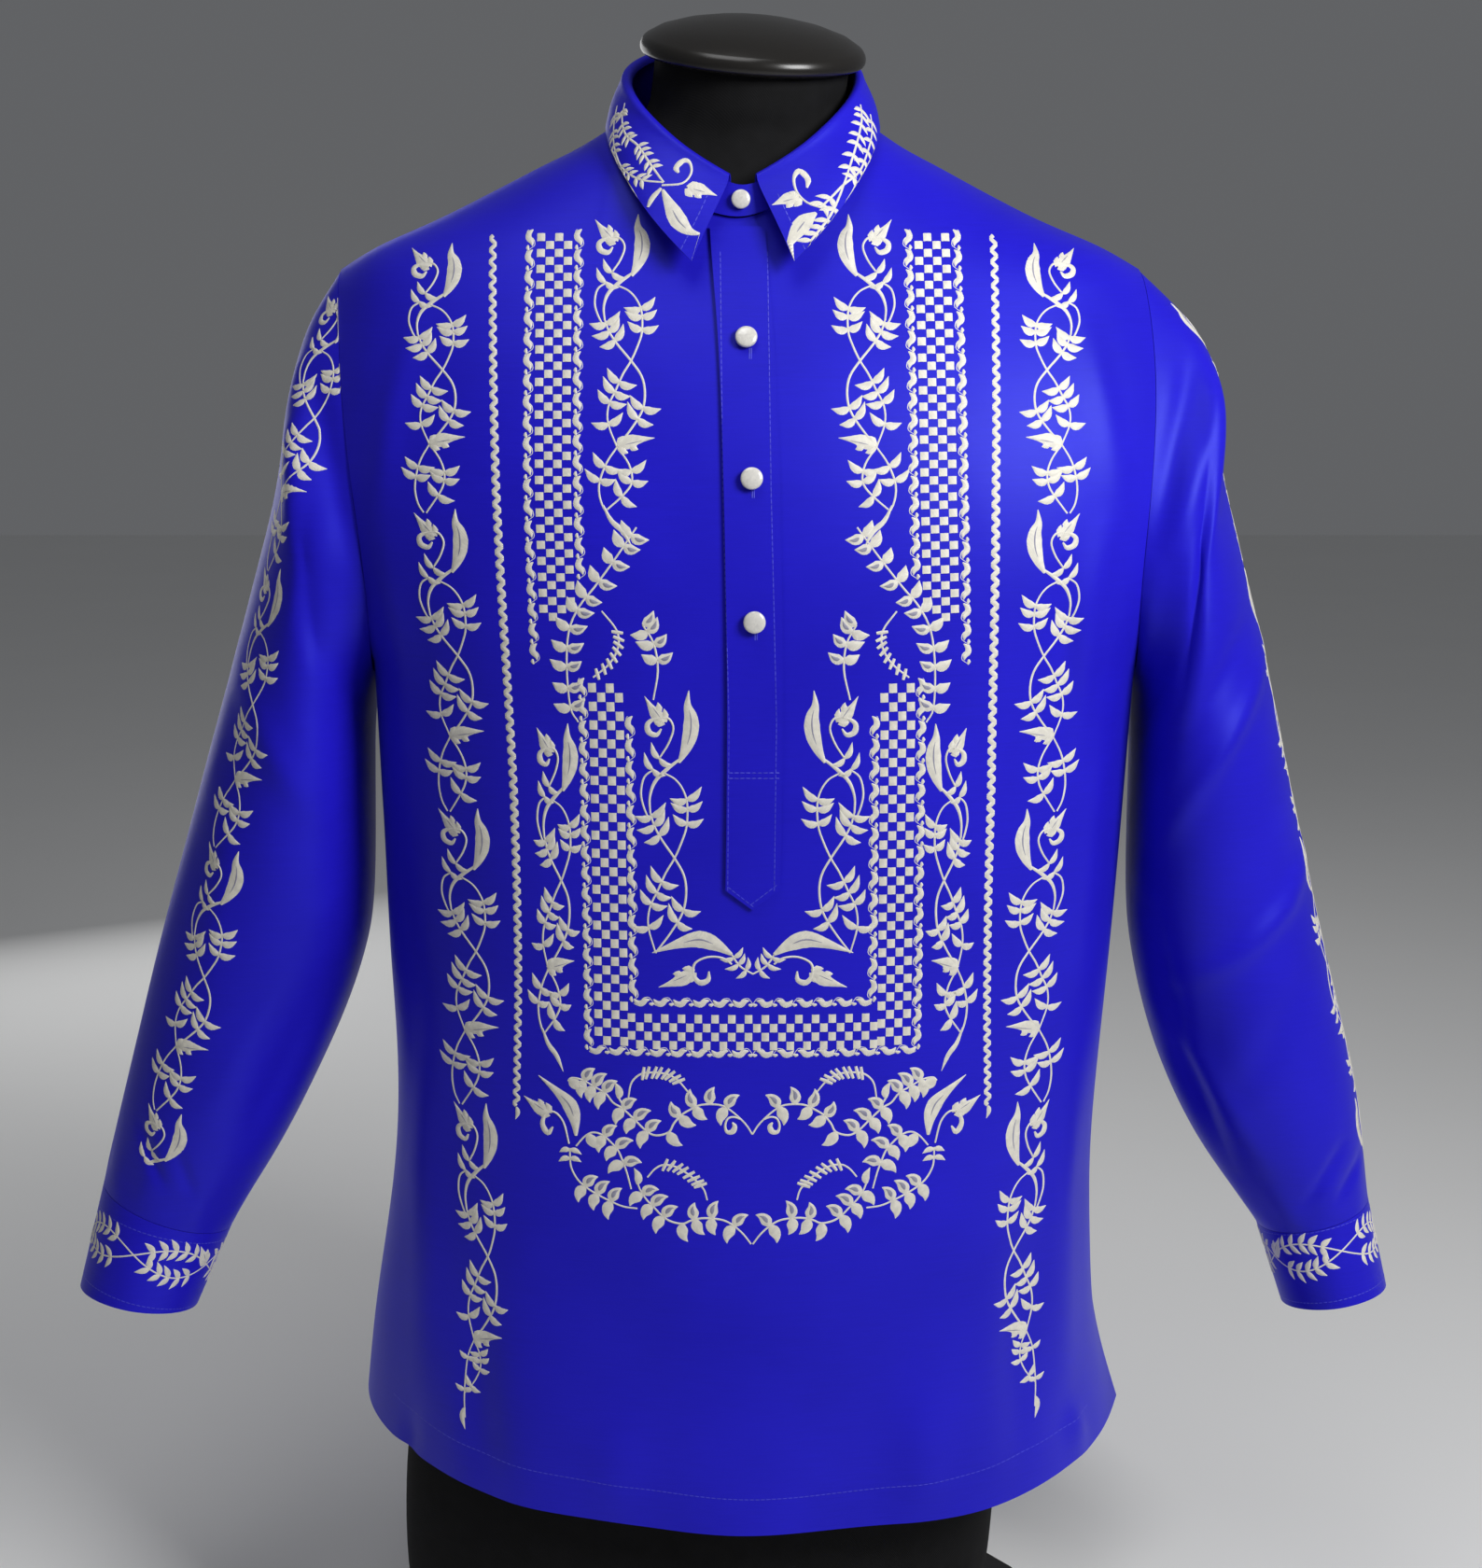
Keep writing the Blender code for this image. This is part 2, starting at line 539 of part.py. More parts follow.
# Half of the collar, by its share of the way from the nape to the front end: the fold along its top, and the free
# edge of the leaf that turns down over the stand.
COLLAR = (
    CollarRow("nape", 0.00, 0.0000, 0.0620, 1.0040, 0.0000, 0.0765, 0.9610),
    CollarRow("side back", 0.25, 0.0475, 0.0430, 0.9990, 0.0570, 0.0540, 0.9600),
    CollarRow("side", 0.50, 0.0655, 0.0000, 0.9835, 0.0768, 0.0000, 0.9565),
    CollarRow("side front", 0.56, 0.0645, -0.0135, 0.9775, 0.0765, -0.0170, 0.9520),
    CollarRow("throat", 0.65, 0.0588, -0.0330, 0.9665, 0.0725, -0.0420, 0.9390),
    CollarRow("leaf side", 0.75, 0.0462, -0.0515, 0.9530, 0.0620, -0.0650, 0.9205),
    CollarRow("point side", 0.85, 0.0295, -0.0635, 0.9385, 0.0480, -0.0835, 0.9005),
    CollarRow("front end", 0.965, 0.0070, -0.0710, 0.9253, 0.0272, -0.0930, 0.8790),
    CollarRow("centre front", 1.00, 0.0000, -0.0720, 0.9215, 0.0200, -0.0960, 0.8720),
)
LEAF_END_TURN = 0.965
FOLD_HALF_WIDTH = 0.0032  # half the outside width of the leaf's turned top
FOLD_DROP = 0.0050  # how far below the fold the stand ends
LEAF_ROLL = 0.0020  # how far the leaf bows out between its fold and its edge
STAND_RISE = 0.0008  # the stand starts this far above the neckline
STAND_LIFT = CLOTH + 1.5 * SEAM_GAP  # how far the buttoned end stands off the other one


def mirrored_curve(column):
    """One column of the collar table all the way round, from the right front end to the left one."""
    sign = -1 if column in ("fold_x", "leaf_x") else 1
    right = [(-row.turn, sign * getattr(row, column)) for row in COLLAR[:0:-1]]
    left = [(row.turn, getattr(row, column)) for row in COLLAR]
    knots, values = zip(*(right + left))
    return curve_through(knots, values)


COLLAR_CURVES = {column: mirrored_curve(column) for column in CollarRow._fields[2:]}


def neckline_point(turn):
    """The neckline's height and plan: turn 0 is the nape and -1 and 1 the centre front."""
    side = 1 if abs(turn) <= 0.5 else -1
    share = 2 * abs(turn) if side > 0 else 2 * (1 - abs(turn))
    return panel_point(math.copysign(NECK_SHARE * share, turn), 2, side)


def fold_frame(turn):
    """The fold's top at a turn and the level direction out of the neck there."""
    at = [Vector([COLLAR_CURVES[axis](turn + step) for axis in ("fold_x", "fold_y", "fold_z")])
          for step in (-0.02, 0.0, 0.02)]
    along = at[2] - at[0]
    out = Vector((-along.y, along.x, 0.0)).normalized()
    return at[1], out


def neck_turns():
    """Turns at the neckline's own corners, so that the stand's base follows the panels' edges."""
    quarter = round(NECK_SHARE * BODY_COLUMNS / 2)
    return [1 - j / quarter / 2 for j in range(4 * quarter + 1)]


def stand_point(turn, up):
    """A point of the stand's outer face, between the neckline and the fold of the leaf."""
    base = neckline_point(turn) + Vector((0, 0, STAND_RISE))
    fold, out = fold_frame(turn)
    top = fold - out * FOLD_HALF_WIDTH / 2 - Vector((0, 0, FOLD_DROP + 2 * SEAM_GAP))
    return base + (top - base) * up, out


def collar_stand(material):
    """The upright band round the neck. Its left end laps over the right one and is buttoned."""
    turns = neck_turns()
    points = []
    for i in range(STAND_ROWS + 1):
        line = []
        centre = stand_point(turns[0], i / STAND_ROWS)[0].x
        for j, turn in enumerate([turns[1]] + turns + [turns[-2]]):
            point, out = stand_point(turn, i / STAND_ROWS)
            if j in (0, len(turns) + 1):
                point.x, out.x = 2 * centre - point.x, -out.x
            lap = ease(1.6 * (1 - j / STAND_LAP_COLUMNS))
            line.append(point + out * STAND_LIFT * lap)
        points.append(line)
    normals = grid_normals(points, closed=False)
    flatten(normals, [(i, j) for i in (0, STAND_ROWS) for j in range(len(turns) + 2)], axis=2)
    return cloth_wall("collar_stand", points, normals, material)


def collar_leaf(material):
    """The leaf: sewn to the stand's top, folded over and turned down to its points."""
    profile = ((-1.0, FOLD_DROP), (-0.85, 0.0016), (0.0, 0.0), (0.85, 0.0016), (1.0, FOLD_DROP))
    columns = []
    for turn in [LEAF_END_TURN] + neck_turns()[1:-1] + [-LEAF_END_TURN]:
        fold, out = fold_frame(turn)
        edge = Vector([COLLAR_CURVES[axis](turn) for axis in ("leaf_x", "leaf_y", "leaf_z")])
        line = [fold + out * FOLD_HALF_WIDTH * wide - Vector((0, 0, drop)) for wide, drop in profile]
        outer = line[-1]
        for i in range(1, LEAF_ROWS + 1):
            down = i / LEAF_ROWS
            line.append(outer + (edge - outer) * down + out * LEAF_ROLL * math.sin(math.pi * down))
        columns.append(line[::-1])
    points = [list(row) for row in zip(*columns)]
    normals = grid_normals(points, closed=False)
    flatten(normals, [(len(points) - 1, j) for j in range(len(columns))], axis=2)
    return cloth_wall("collar_leaf", points, normals, material)


# ---------------------------------------------------------------- placket and buttons


def front_levels():
    """The heights of the front's own rows on its centre line."""
    return [panel_point(0.0, row, -1).z for row in panel_rows()]


def front_point(across, z):
    """The front's outer face at a height, so far across from its middle."""
    x = SHIRT_BODY.middle(z) + across
    return Vector((x, SHIRT_BODY.y(x, z, -1) - drape(x, z, -1) - SEAM_GAP * 0.6, z))


def placket(material):
    """The band that finishes the front opening: a strip with a pointed end, laid on the front."""
    levels = front_levels()
    heights = [PLACKET_END_Z] + [z for z in levels if PLACKET_END_Z + 0.01 < z < levels[-1] - 0.006]
    heights.append(levels[-1] - 0.003)
    points = []
    for i, z in enumerate(heights):
        line = []
        for j in range(PLACKET_COLUMNS + 1):
            across = 2 * j / PLACKET_COLUMNS - 1
            level = z - PLACKET_POINT * (1 - abs(across)) if i == 0 else z
            line.append(front_point(PLACKET_HALF_WIDTH * across, level))
        points.append(line)
    return cloth_wall("placket", points, grid_normals(points, closed=False), material, lift=PLACKET_LIFT)


# A button's outline from its shank to the middle of its dome, as shares of its radius and its height.
BUTTON_PROFILE = ((0.34, 0.0), (0.34, 0.26), (0.90, 0.34), (1.0, 0.52), (0.80, 0.80), (0.42, 0.96))


def button(name, seat, out, radius, material):
    """A domed button on a short shank, with its back on the cloth at the seat."""
    out = out.normalized()
    turn = out.to_track_quat("Z", "Y")
    mesh = bmesh.new()
    rings = []
    for wide, high in BUTTON_PROFILE:
        ring = []
        for j in range(BUTTON_SIDES):
            angle = 2 * math.pi * j / BUTTON_SIDES
            local = Vector((radius * wide * math.cos(angle), radius * wide * math.sin(angle), BUTTON_HEIGHT * high))
            ring.append(mesh.verts.new(seat + turn @ local))
        rings.append(ring)
    for low, high in zip(rings, rings[1:]):
        for j in range(BUTTON_SIDES):
            k = (j + 1) % BUTTON_SIDES
            mesh.faces.new((low[j], low[k], high[k], high[j]))
    mesh.faces.new(rings[0][::-1])
    crown = mesh.verts.new(seat + turn @ Vector((0, 0, BUTTON_HEIGHT)))
    for j in range(BUTTON_SIDES):
        mesh.faces.new((rings[-1][j], rings[-1][(j + 1) % BUTTON_SIDES], crown))
    return finish(name, mesh, material, smooth_angle=60)


def placket_buttons(material):
    """Three buttons down the placket and one on the collar stand."""
    levels = front_levels()
    for number, z in enumerate(PLACKET_BUTTON_Z, start=1):
        above = min(level for level in levels if level > z)
        below = max(level for level in levels if level <= z)
        low, high = front_point(0, below), front_point(0, above)
        slope = (high - low).normalized()
        out = Vector((0, -slope.z, slope.y)).normalized()
        seat = low + slope * (z - below) / slope.z + out * (PLACKET_LIFT + 1.5 * SEAM_GAP)
        button(f"button_placket_{number}", seat, out, BUTTON_RADIUS, material)
    foot, top = stand_point(1.0, 0)[0], stand_point(1.0, 1)[0]
    slope = (top - foot).normalized()
    out = Vector((0, -slope.z, slope.y)).normalized()
    seat = foot + slope * (COLLAR_BUTTON_Z - foot.z) / slope.z + out * (STAND_LIFT + 1.5 * SEAM_GAP)
    button("button_collar", seat, out, BUTTON_RADIUS * 0.9, material)


# ---------------------------------------------------------------- dress form

FORM_LEVELS = (
    0.0253, 0.070, 0.120, 0.170, 0.220, 0.275, 0.335, 0.400, 0.460, 0.525, 0.590, 0.650, 0.705, 0.750, 0.790,
    0.822, 0.846, 0.862, 0.8725, 0.883, 0.895, 0.908, 0.921, 0.933, 0.944, 0.951,
)
NECK_RADIUS = 0.0545
NECK_TILT_DEG = 14.0
NECK_ROLL_DEG = 4.0  # the form leans, so the cap is lower on its left
NECK_TOP = Vector((0.0057, -0.0040, 0.9930))
CAP_RADIUS = 0.0628
CAP_SIDE = 0.006
CAP_DOME = 0.014


def form_ring(z):
    ring = []
    for j in range(FORM_COLUMNS):
        angle = 2 * math.pi * j / FORM_COLUMNS
        power = 2 / FORM_BODY.roundness(z)
        side = -1 if math.sin(angle) < 0 else 1
        depth = FORM_BODY.front_depth(z) if side < 0 else FORM_BODY.back_depth(z)
        x = math.copysign(abs(math.cos(angle)) ** power, math.cos(angle)) * FORM_BODY.half_width(z)
        ring.append(Vector((x + FORM_BODY.middle(z), side * depth * abs(math.sin(angle)) ** power, z)))
    return ring


def neck_ring(centre, radius, lean):
    """A ring round the neck. A lean of 1 gives it the whole tilt and roll of the cap, and 0 none."""
    tilt, roll = math.radians(NECK_TILT_DEG * lean), math.radians(NECK_ROLL_DEG * lean)
    ring = []
    for j in range(FORM_COLUMNS):
        angle = 2 * math.pi * j / FORM_COLUMNS
        aside, forward = radius * math.cos(angle), radius * math.sin(angle)
        ring.append(centre + Vector((
            aside * math.cos(roll),
            forward * math.cos(tilt),
            forward * math.sin(tilt) - aside * math.sin(roll),
        )))
    return ring


def lathed(name, rings, material):
    """A closed solid through rings that run from the bottom up."""
    mesh = bmesh.new()
    loops = [[mesh.verts.new(point) for point in ring] for ring in rings]
    for low, high in zip(loops, loops[1:]):
        for j in range(len(low)):
            k = (j + 1) % len(low)
            mesh.faces.new((low[j], low[k], high[k], high[j]))
    mesh.faces.new(loops[0][::-1])
    mesh.faces.new(loops[-1])
    return finish(name, mesh, material)


def form_body(material):
    """The limbless form: hips, chest and shoulders closed over at the arms, and a neck that leans forward."""
    rings = [form_ring(z) for z in FORM_LEVELS]
    for share in (0.25, 0.60, 1.0):
        centre = Vector((0.001, 0, FORM_LEVELS[-1])).lerp(NECK_TOP, share)
        rings.append(neck_ring(centre, NECK_RADIUS, share))
    return lathed("form_body", rings, material)


def form_neck_cap(material):
    """The shallow domed cap on the neck."""
    tilt, roll = math.radians(NECK_TILT_DEG), math.radians(NECK_ROLL_DEG)
    up = Vector((math.sin(roll), -math.sin(tilt), math.cos(tilt))).normalized()
    rises = (
        (0.97, 0.0), (1.0, 0.0015), (1.0, CAP_SIDE - 0.0015), (0.975, CAP_SIDE),
        (0.86, CAP_SIDE + CAP_DOME * 0.34), (0.66, CAP_SIDE + CAP_DOME * 0.66),
        (0.40, CAP_SIDE + CAP_DOME * 0.90), (0.14, CAP_SIDE + CAP_DOME),
    )
    base = NECK_TOP + up * SEAM_GAP
    rings = [neck_ring(base + up * rise, CAP_RADIUS * wide, 1) for wide, rise in rises]
    return lathed("form_neck_cap", rings, material)


def form_board(material):
    """The oval board the form stands on."""
    rings = []
    for inset, z in ((0.003, 0.0), (0.0, 0.003), (0.0, BOARD_THICKNESS - 0.003), (0.003, BOARD_THICKNESS)):
        ring = []
        for j in range(BOARD_COLUMNS):
            angle = 2 * math.pi * j / BOARD_COLUMNS
            ring.append(Vector(((BOARD_HALF_WIDTH - inset) * math.cos(angle),
                                (BOARD_HALF_DEPTH - inset) * math.sin(angle), z)))
        rings.append(ring)
    return lathed("form_board", rings, material)


# ---------------------------------------------------------------- materials and the whole


def principled(name, colour, roughness, metallic=0.0):
    material = bpy.data.materials.new(name)
    material.use_nodes = True
    shader = material.node_tree.nodes["Principled BSDF"]
    shader.inputs["Base Color"].default_value = (*colour, 1.0)
    shader.inputs["Roughness"].default_value = roughness
    shader.inputs["Metallic"].default_value = metallic
    material.diffuse_color = (*colour, 1.0)
    return material


def main():
    for thing in list(bpy.data.objects):
        bpy.data.objects.remove(thing)
    cloth = principled("blue_cloth", (0.020, 0.018, 0.500), 0.55)
    pearl = principled("pearl", (0.80, 0.80, 0.78), 0.25)
    jersey = principled("black_jersey", (0.012, 0.012, 0.012), 0.75)
    gloss = principled("black_gloss", (0.010, 0.010, 0.010), 0.15)
    board = principled("black_board", (0.020, 0.020, 0.020), 0.45)

    body_panel("front", -1, cloth)
    body_panel("back", 1, cloth)
    sides = (
        ("left", 1, LEFT_SLEEVE, LEFT_FOLDS, LEFT_CUFF_END),
        ("right", -1, RIGHT_SLEEVE, RIGHT_FOLDS, RIGHT_CUFF_END),
    )
    for label, hand, stations, folds, cuff_end in sides:
        sleeve(f"sleeve_{label}", hand, stations, folds, cloth)
        cuff(f"cuff_{label}", hand, stations, cuff_end, cloth)
        cuff_button(f"button_cuff_{label}", hand, stations, cuff_end, pearl)
    collar_stand(cloth)
    collar_leaf(cloth)
    placket(cloth)
    placket_buttons(pearl)
    form_body(jersey)
    form_neck_cap(gloss)
    form_board(board)


main()
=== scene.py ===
# %% [markdown]
# # A barong tagalog shirt on a limbless dress form
#
# A barong tagalog is the embroidered pullover shirt of the Philippines: a long-sleeved shirt with a shirt
# collar, a half placket and side vents, worn outside the trousers. The imported model gives every cut piece
# as a plain wall of cloth. This lesson turns those walls into thin creased cloth, sews the embroidery and
# the stitching on them, and gives every surface its finish. It starts by loading the model.

import math
from collections import namedtuple

import bmesh
import bpy
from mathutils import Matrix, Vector
from mathutils.bvhtree import BVHTree


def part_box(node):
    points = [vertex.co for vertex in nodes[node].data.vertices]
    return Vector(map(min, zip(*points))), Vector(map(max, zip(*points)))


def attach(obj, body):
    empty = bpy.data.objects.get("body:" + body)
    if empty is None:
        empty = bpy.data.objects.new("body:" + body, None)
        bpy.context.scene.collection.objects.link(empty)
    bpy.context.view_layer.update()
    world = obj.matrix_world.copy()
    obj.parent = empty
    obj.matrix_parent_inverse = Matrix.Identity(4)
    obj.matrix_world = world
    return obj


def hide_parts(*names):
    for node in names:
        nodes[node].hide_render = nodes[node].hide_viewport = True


MM = 0.001
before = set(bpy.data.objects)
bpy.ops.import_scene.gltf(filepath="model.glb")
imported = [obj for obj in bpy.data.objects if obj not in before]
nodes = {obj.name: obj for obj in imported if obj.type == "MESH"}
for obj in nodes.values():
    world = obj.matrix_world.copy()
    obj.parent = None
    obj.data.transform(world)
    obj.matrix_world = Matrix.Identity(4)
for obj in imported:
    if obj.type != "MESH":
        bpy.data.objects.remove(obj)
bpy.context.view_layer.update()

# %% [markdown]
# ## Camera
#
# The camera stands level with the shoulders, 1.2 m in front of the chest, and looks 12 degrees down, so
# that the whole shirt is in the picture. A long-side field of 37 degrees is a short portrait lens.

# %% Camera
CAMERA_PLACE = Vector((-0.001, -1.355, 0.865))
CAMERA_PITCH = math.radians(12)
CAMERA_LENS = 53.57  # millimetres, on a 36 mm sensor

bpy.context.scene.view_settings.view_transform = "Standard"
camera_data = bpy.data.cameras.new("camera")
camera_data.lens = CAMERA_LENS
camera_data.sensor_width = 36
camera = bpy.data.objects.new("camera", camera_data)
camera.location = CAMERA_PLACE
camera.rotation_euler = (math.radians(90) - CAMERA_PITCH, 0, 0)
bpy.context.scene.collection.objects.link(camera)
bpy.context.scene.camera = camera
print("camera at", [round(c, 3) for c in CAMERA_PLACE])

# %% [markdown]
# ## Light and floor
#
# Soft light shows cloth best: one large key from the front and the wearer's left, a weaker one from above
# for the shoulders, and a faint one from behind. The floor is a plain pale sheet.


# %% Light and floor
def area_light(name, place, aim, size, watts):
    """A square soft light that looks from its place at a point."""
    data = bpy.data.lights.new(name, "AREA")
    data.shape = "SQUARE"
    data.size = size
    data.energy = watts
    light = bpy.data.objects.new(name, data)
    light.location = place
    light.rotation_euler = (Vector(aim) - Vector(place)).to_track_quat("-Z", "Y").to_euler()
    bpy.context.scene.collection.objects.link(light)


CHEST = (0.0, -0.05, 0.65)
area_light("key_light", (1.0, -1.0, 1.45), (0.03, -0.05, 0.76), 0.6, 27)
area_light("top_light", (-0.25, -0.55, 2.2), (-0.05, -0.05, 0.8), 0.8, 8)
area_light("rim_light", (-0.9, 1.7, 0.8), CHEST, 1.2, 6)

world = bpy.data.worlds.new("studio_air")
world.use_nodes = True
world.node_tree.nodes["Background"].inputs["Color"].default_value = (0.80, 0.82, 0.86, 1)
world.node_tree.nodes["Background"].inputs["Strength"].default_value = 0.15
bpy.context.scene.world = world

bpy.ops.object.select_all(action="DESELECT")
bpy.ops.mesh.primitive_plane_add(size=14, location=(0, 0, 0))
floor = bpy.context.object
floor.name = "floor"

# %% [markdown]
# ## Materials
#
# Each finish is a small node tree on a Principled shader. Small helpers make the nodes, so that a material
# reads like a recipe. Patterns read the object's own coordinates, in metres, or the piece's UV map, in
# metres too.


# %% Material helpers
BAND_STEP = 0.314  # metres between the bands of a wave texture whose scale is 1


def new_material(name, colour, roughness):
    material = bpy.data.materials.new(name)
    material.use_nodes = True
    shader = material.node_tree.nodes["Principled BSDF"]
    shader.inputs["Base Color"].default_value = (*colour, 1)
    shader.inputs["Roughness"].default_value = roughness
    return material, material.node_tree, shader


def add_node(tree, kind, settings=(), **inputs):
    """A node with its settings and the values of its inputs, or the sockets that feed them."""
    node = tree.nodes.new(kind)
    for key, value in dict(settings).items():
        setattr(node, key, value)
    for key, value in inputs.items():
        socket = node.inputs[key.replace("_", " ")]
        if isinstance(value, bpy.types.NodeSocket):
            tree.links.new(value, socket)
        else:
            socket.default_value = value
    return node


def object_place(tree):
    return tree.nodes.new("ShaderNodeTexCoord").outputs["Object"]


def uv_place(tree):
    return tree.nodes.new("ShaderNodeTexCoord").outputs["UV"]


def blend_colours(tree, factor, first, second):
    """A colour that goes from the first to the second as the factor goes from 0 to 1."""
    mix = add_node(tree, "ShaderNodeMix", {"data_type": "RGBA"})
    tree.links.new(factor, mix.inputs["Factor"])
    for socket, value in ((mix.inputs[6], first), (mix.inputs[7], second)):
        if isinstance(value, bpy.types.NodeSocket):
            tree.links.new(value, socket)
        else:
            socket.default_value = (*value, 1)
    return mix.outputs[2]


def add_bump(tree, shader, height, depth, strength):
    bump = add_node(tree, "ShaderNodeBump", Strength=strength, Distance=depth, Height=height)
    tree.links.new(bump.outputs["Normal"], shader.inputs["Normal"])


# %% [markdown]
# The shirt's cloth is a fine plain weave, opaque and softly lustrous. Two sets of fine lines crossed give
# the weave, slubs along them give the slightly uneven yarn, and a broad, faint change of tone keeps large
# areas alive. The shader's own sheen gives the soft bloom on the turned edges.


# %% Blue cloth
def blue_cloth():
    material, tree, shader = new_material("blue_cloth", (0.018, 0.016, 0.42), 0.42)
    place = object_place(tree)
    yarn = 0.42 * MM
    fineness = BAND_STEP / yarn
    across = add_node(tree, "ShaderNodeTexWave", {"bands_direction": "X"}, Vector=place, Scale=fineness,
                      Distortion=0.6, Detail=1.0)
    along = add_node(tree, "ShaderNodeTexWave", {"bands_direction": "Z"}, Vector=place, Scale=fineness,
                     Distortion=0.6, Detail=1.0)
    weave = add_node(tree, "ShaderNodeMath", {"operation": "MULTIPLY"})
    tree.links.new(across.outputs["Fac"], weave.inputs[0])
    tree.links.new(along.outputs["Fac"], weave.inputs[1])
    stretched = add_node(tree, "ShaderNodeMapping", Vector=place, Scale=(60, 60, 1400))
    slub = add_node(tree, "ShaderNodeTexNoise", Vector=stretched.outputs["Vector"], Scale=1.0, Detail=3.0)
    broad = add_node(tree, "ShaderNodeTexNoise", Vector=place, Scale=9.0, Detail=2.0)
    tone = add_node(tree, "ShaderNodeMath", {"operation": "MULTIPLY_ADD"})
    tree.links.new(slub.outputs["Fac"], tone.inputs[0])
    tone.inputs[1].default_value = 0.45
    tree.links.new(broad.outputs["Fac"], tone.inputs[2])
    spread = add_node(tree, "ShaderNodeMapRange", Value=tone.outputs[0], From_Min=0.4, From_Max=1.05)
    colour = blend_colours(tree, spread.outputs["Result"], (0.0100, 0.0060, 0.400), (0.0150, 0.0095, 0.540))
    tree.links.new(colour, shader.inputs["Base Color"])
    shader.inputs["Sheen Weight"].default_value = 0.18
    shader.inputs["Sheen Roughness"].default_value = 0.35
    shader.inputs["Sheen Tint"].default_value = (0.10, 0.12, 1.0, 1)
    shader.inputs["Specular IOR Level"].default_value = 0.42
    shader.inputs["Specular Tint"].default_value = (0.25, 0.32, 1.0, 1)
    add_bump(tree, shader, weave.outputs[0], 0.06 * MM, 0.5)
    return material


BLUE_CLOTH = blue_cloth()
print("made the blue cloth,", len(BLUE_CLOTH.node_tree.nodes), "nodes")

# %% [markdown]
# The embroidery is satin stitch in a silver cream rayon thread: close parallel stitches that run across
# each leaf and stem. Its UV map holds metres across and along the stitch line, so fine bands along it are
# the single threads, in relief and in colour. The colour is painted shade: each band is darker in the groove
# between it and the next, and a random mottle darkens it here and there. The centre of the larger leaves is
# shaded with a greyer, more open stitch.


# %% Embroidery threads
def thread(name, light, groove_shade_and_mottle, roughness, sheen):
    material, tree, shader = new_material(name, light, roughness)
    place = uv_place(tree)
    slanted = add_node(tree, "ShaderNodeMapping", Vector=place, Rotation=(0, 0, math.radians(14)))
    stitch = 0.55 * MM
    bands = add_node(tree, "ShaderNodeTexWave", {"bands_direction": "Y"}, Vector=slanted.outputs["Vector"],
                     Scale=BAND_STEP / stitch, Distortion=1.2, Detail=2.0)
    broken = add_node(tree, "ShaderNodeTexNoise", Vector=object_place(tree), Scale=260.0, Detail=2.0)
    depth = add_node(tree, "ShaderNodeMath", {"operation": "MULTIPLY"})
    tree.links.new(bands.outputs["Fac"], depth.inputs[0])
    tree.links.new(broken.outputs["Fac"], depth.inputs[1])
    # The thread's colour is darkest where its relief is lowest: painted shade in the grooves between the
    # single threads, and a random darker mottle where the noise is low.
    tone = add_node(tree, "ShaderNodeMapRange", Value=depth.outputs[0], From_Min=0.05, From_Max=0.55)
    tree.links.new(blend_colours(tree, tone.outputs["Result"], groove_shade_and_mottle, light), shader.inputs["Base Color"])
    shader.inputs["Sheen Weight"].default_value = sheen
    shader.inputs["Specular IOR Level"].default_value = 0.5
    add_bump(tree, shader, depth.outputs[0], 0.18 * MM, 0.7)
    return material


SILVER_THREAD = thread("silver_thread", (0.83, 0.80, 0.68), (0.50, 0.48, 0.44), 0.42, 0.1)
SHADE_THREAD = thread("shade_thread", (0.36, 0.35, 0.40), (0.16, 0.16, 0.26), 0.55, 0.05)
BLUE_THREAD = thread("blue_thread", (0.045, 0.055, 0.78), (0.013, 0.012, 0.34), 0.40, 0.12)
print("made three threads, each of", len(SILVER_THREAD.node_tree.nodes), "nodes")

# %% [markdown]
# The buttons are pearl: a pale, glossy shell whose tone drifts in soft layers. The form wears matt black
# jersey, its neck cap is polished black, and its board is black lacquered wood with a faint grain.


# %% Pearl, jersey, gloss, board and floor
def pearl():
    material, tree, shader = new_material("pearl", (0.8, 0.79, 0.76), 0.22)
    layers = add_node(tree, "ShaderNodeTexNoise", Vector=object_place(tree), Scale=420.0, Detail=3.0,
                      Distortion=1.5)
    tree.links.new(blend_colours(tree, layers.outputs["Fac"], (0.44, 0.43, 0.42), (0.72, 0.70, 0.64)),
                   shader.inputs["Base Color"])
    shader.inputs["Coat Weight"].default_value = 0.6
    shader.inputs["Coat Roughness"].default_value = 0.08
    return material


def jersey():
    material, tree, shader = new_material("black_jersey", (0.008, 0.008, 0.009), 0.85)
    place = object_place(tree)
    ribs = add_node(tree, "ShaderNodeTexWave", {"bands_direction": "DIAGONAL"}, Vector=place, Scale=420.0,
                    Distortion=2.0, Detail=2.0)
    fuzz = add_node(tree, "ShaderNodeTexNoise", Vector=place, Scale=90.0, Detail=4.0)
    tree.links.new(blend_colours(tree, fuzz.outputs["Fac"], (0.004, 0.004, 0.004), (0.009, 0.009, 0.010)),
                   shader.inputs["Base Color"])
    shader.inputs["Specular IOR Level"].default_value = 0.12
    add_bump(tree, shader, ribs.outputs["Fac"], 0.1 * MM, 0.6)
    return material


def black_gloss():
    material, tree, shader = new_material("black_gloss", (0.012, 0.011, 0.010), 0.35)
    smears = add_node(tree, "ShaderNodeTexNoise", Vector=object_place(tree), Scale=38.0, Detail=4.0)
    rough = add_node(tree, "ShaderNodeMapRange", Value=smears.outputs["Fac"], To_Min=0.20, To_Max=0.32)
    tree.links.new(rough.outputs["Result"], shader.inputs["Roughness"])
    shader.inputs["IOR"].default_value = 1.42
    return material


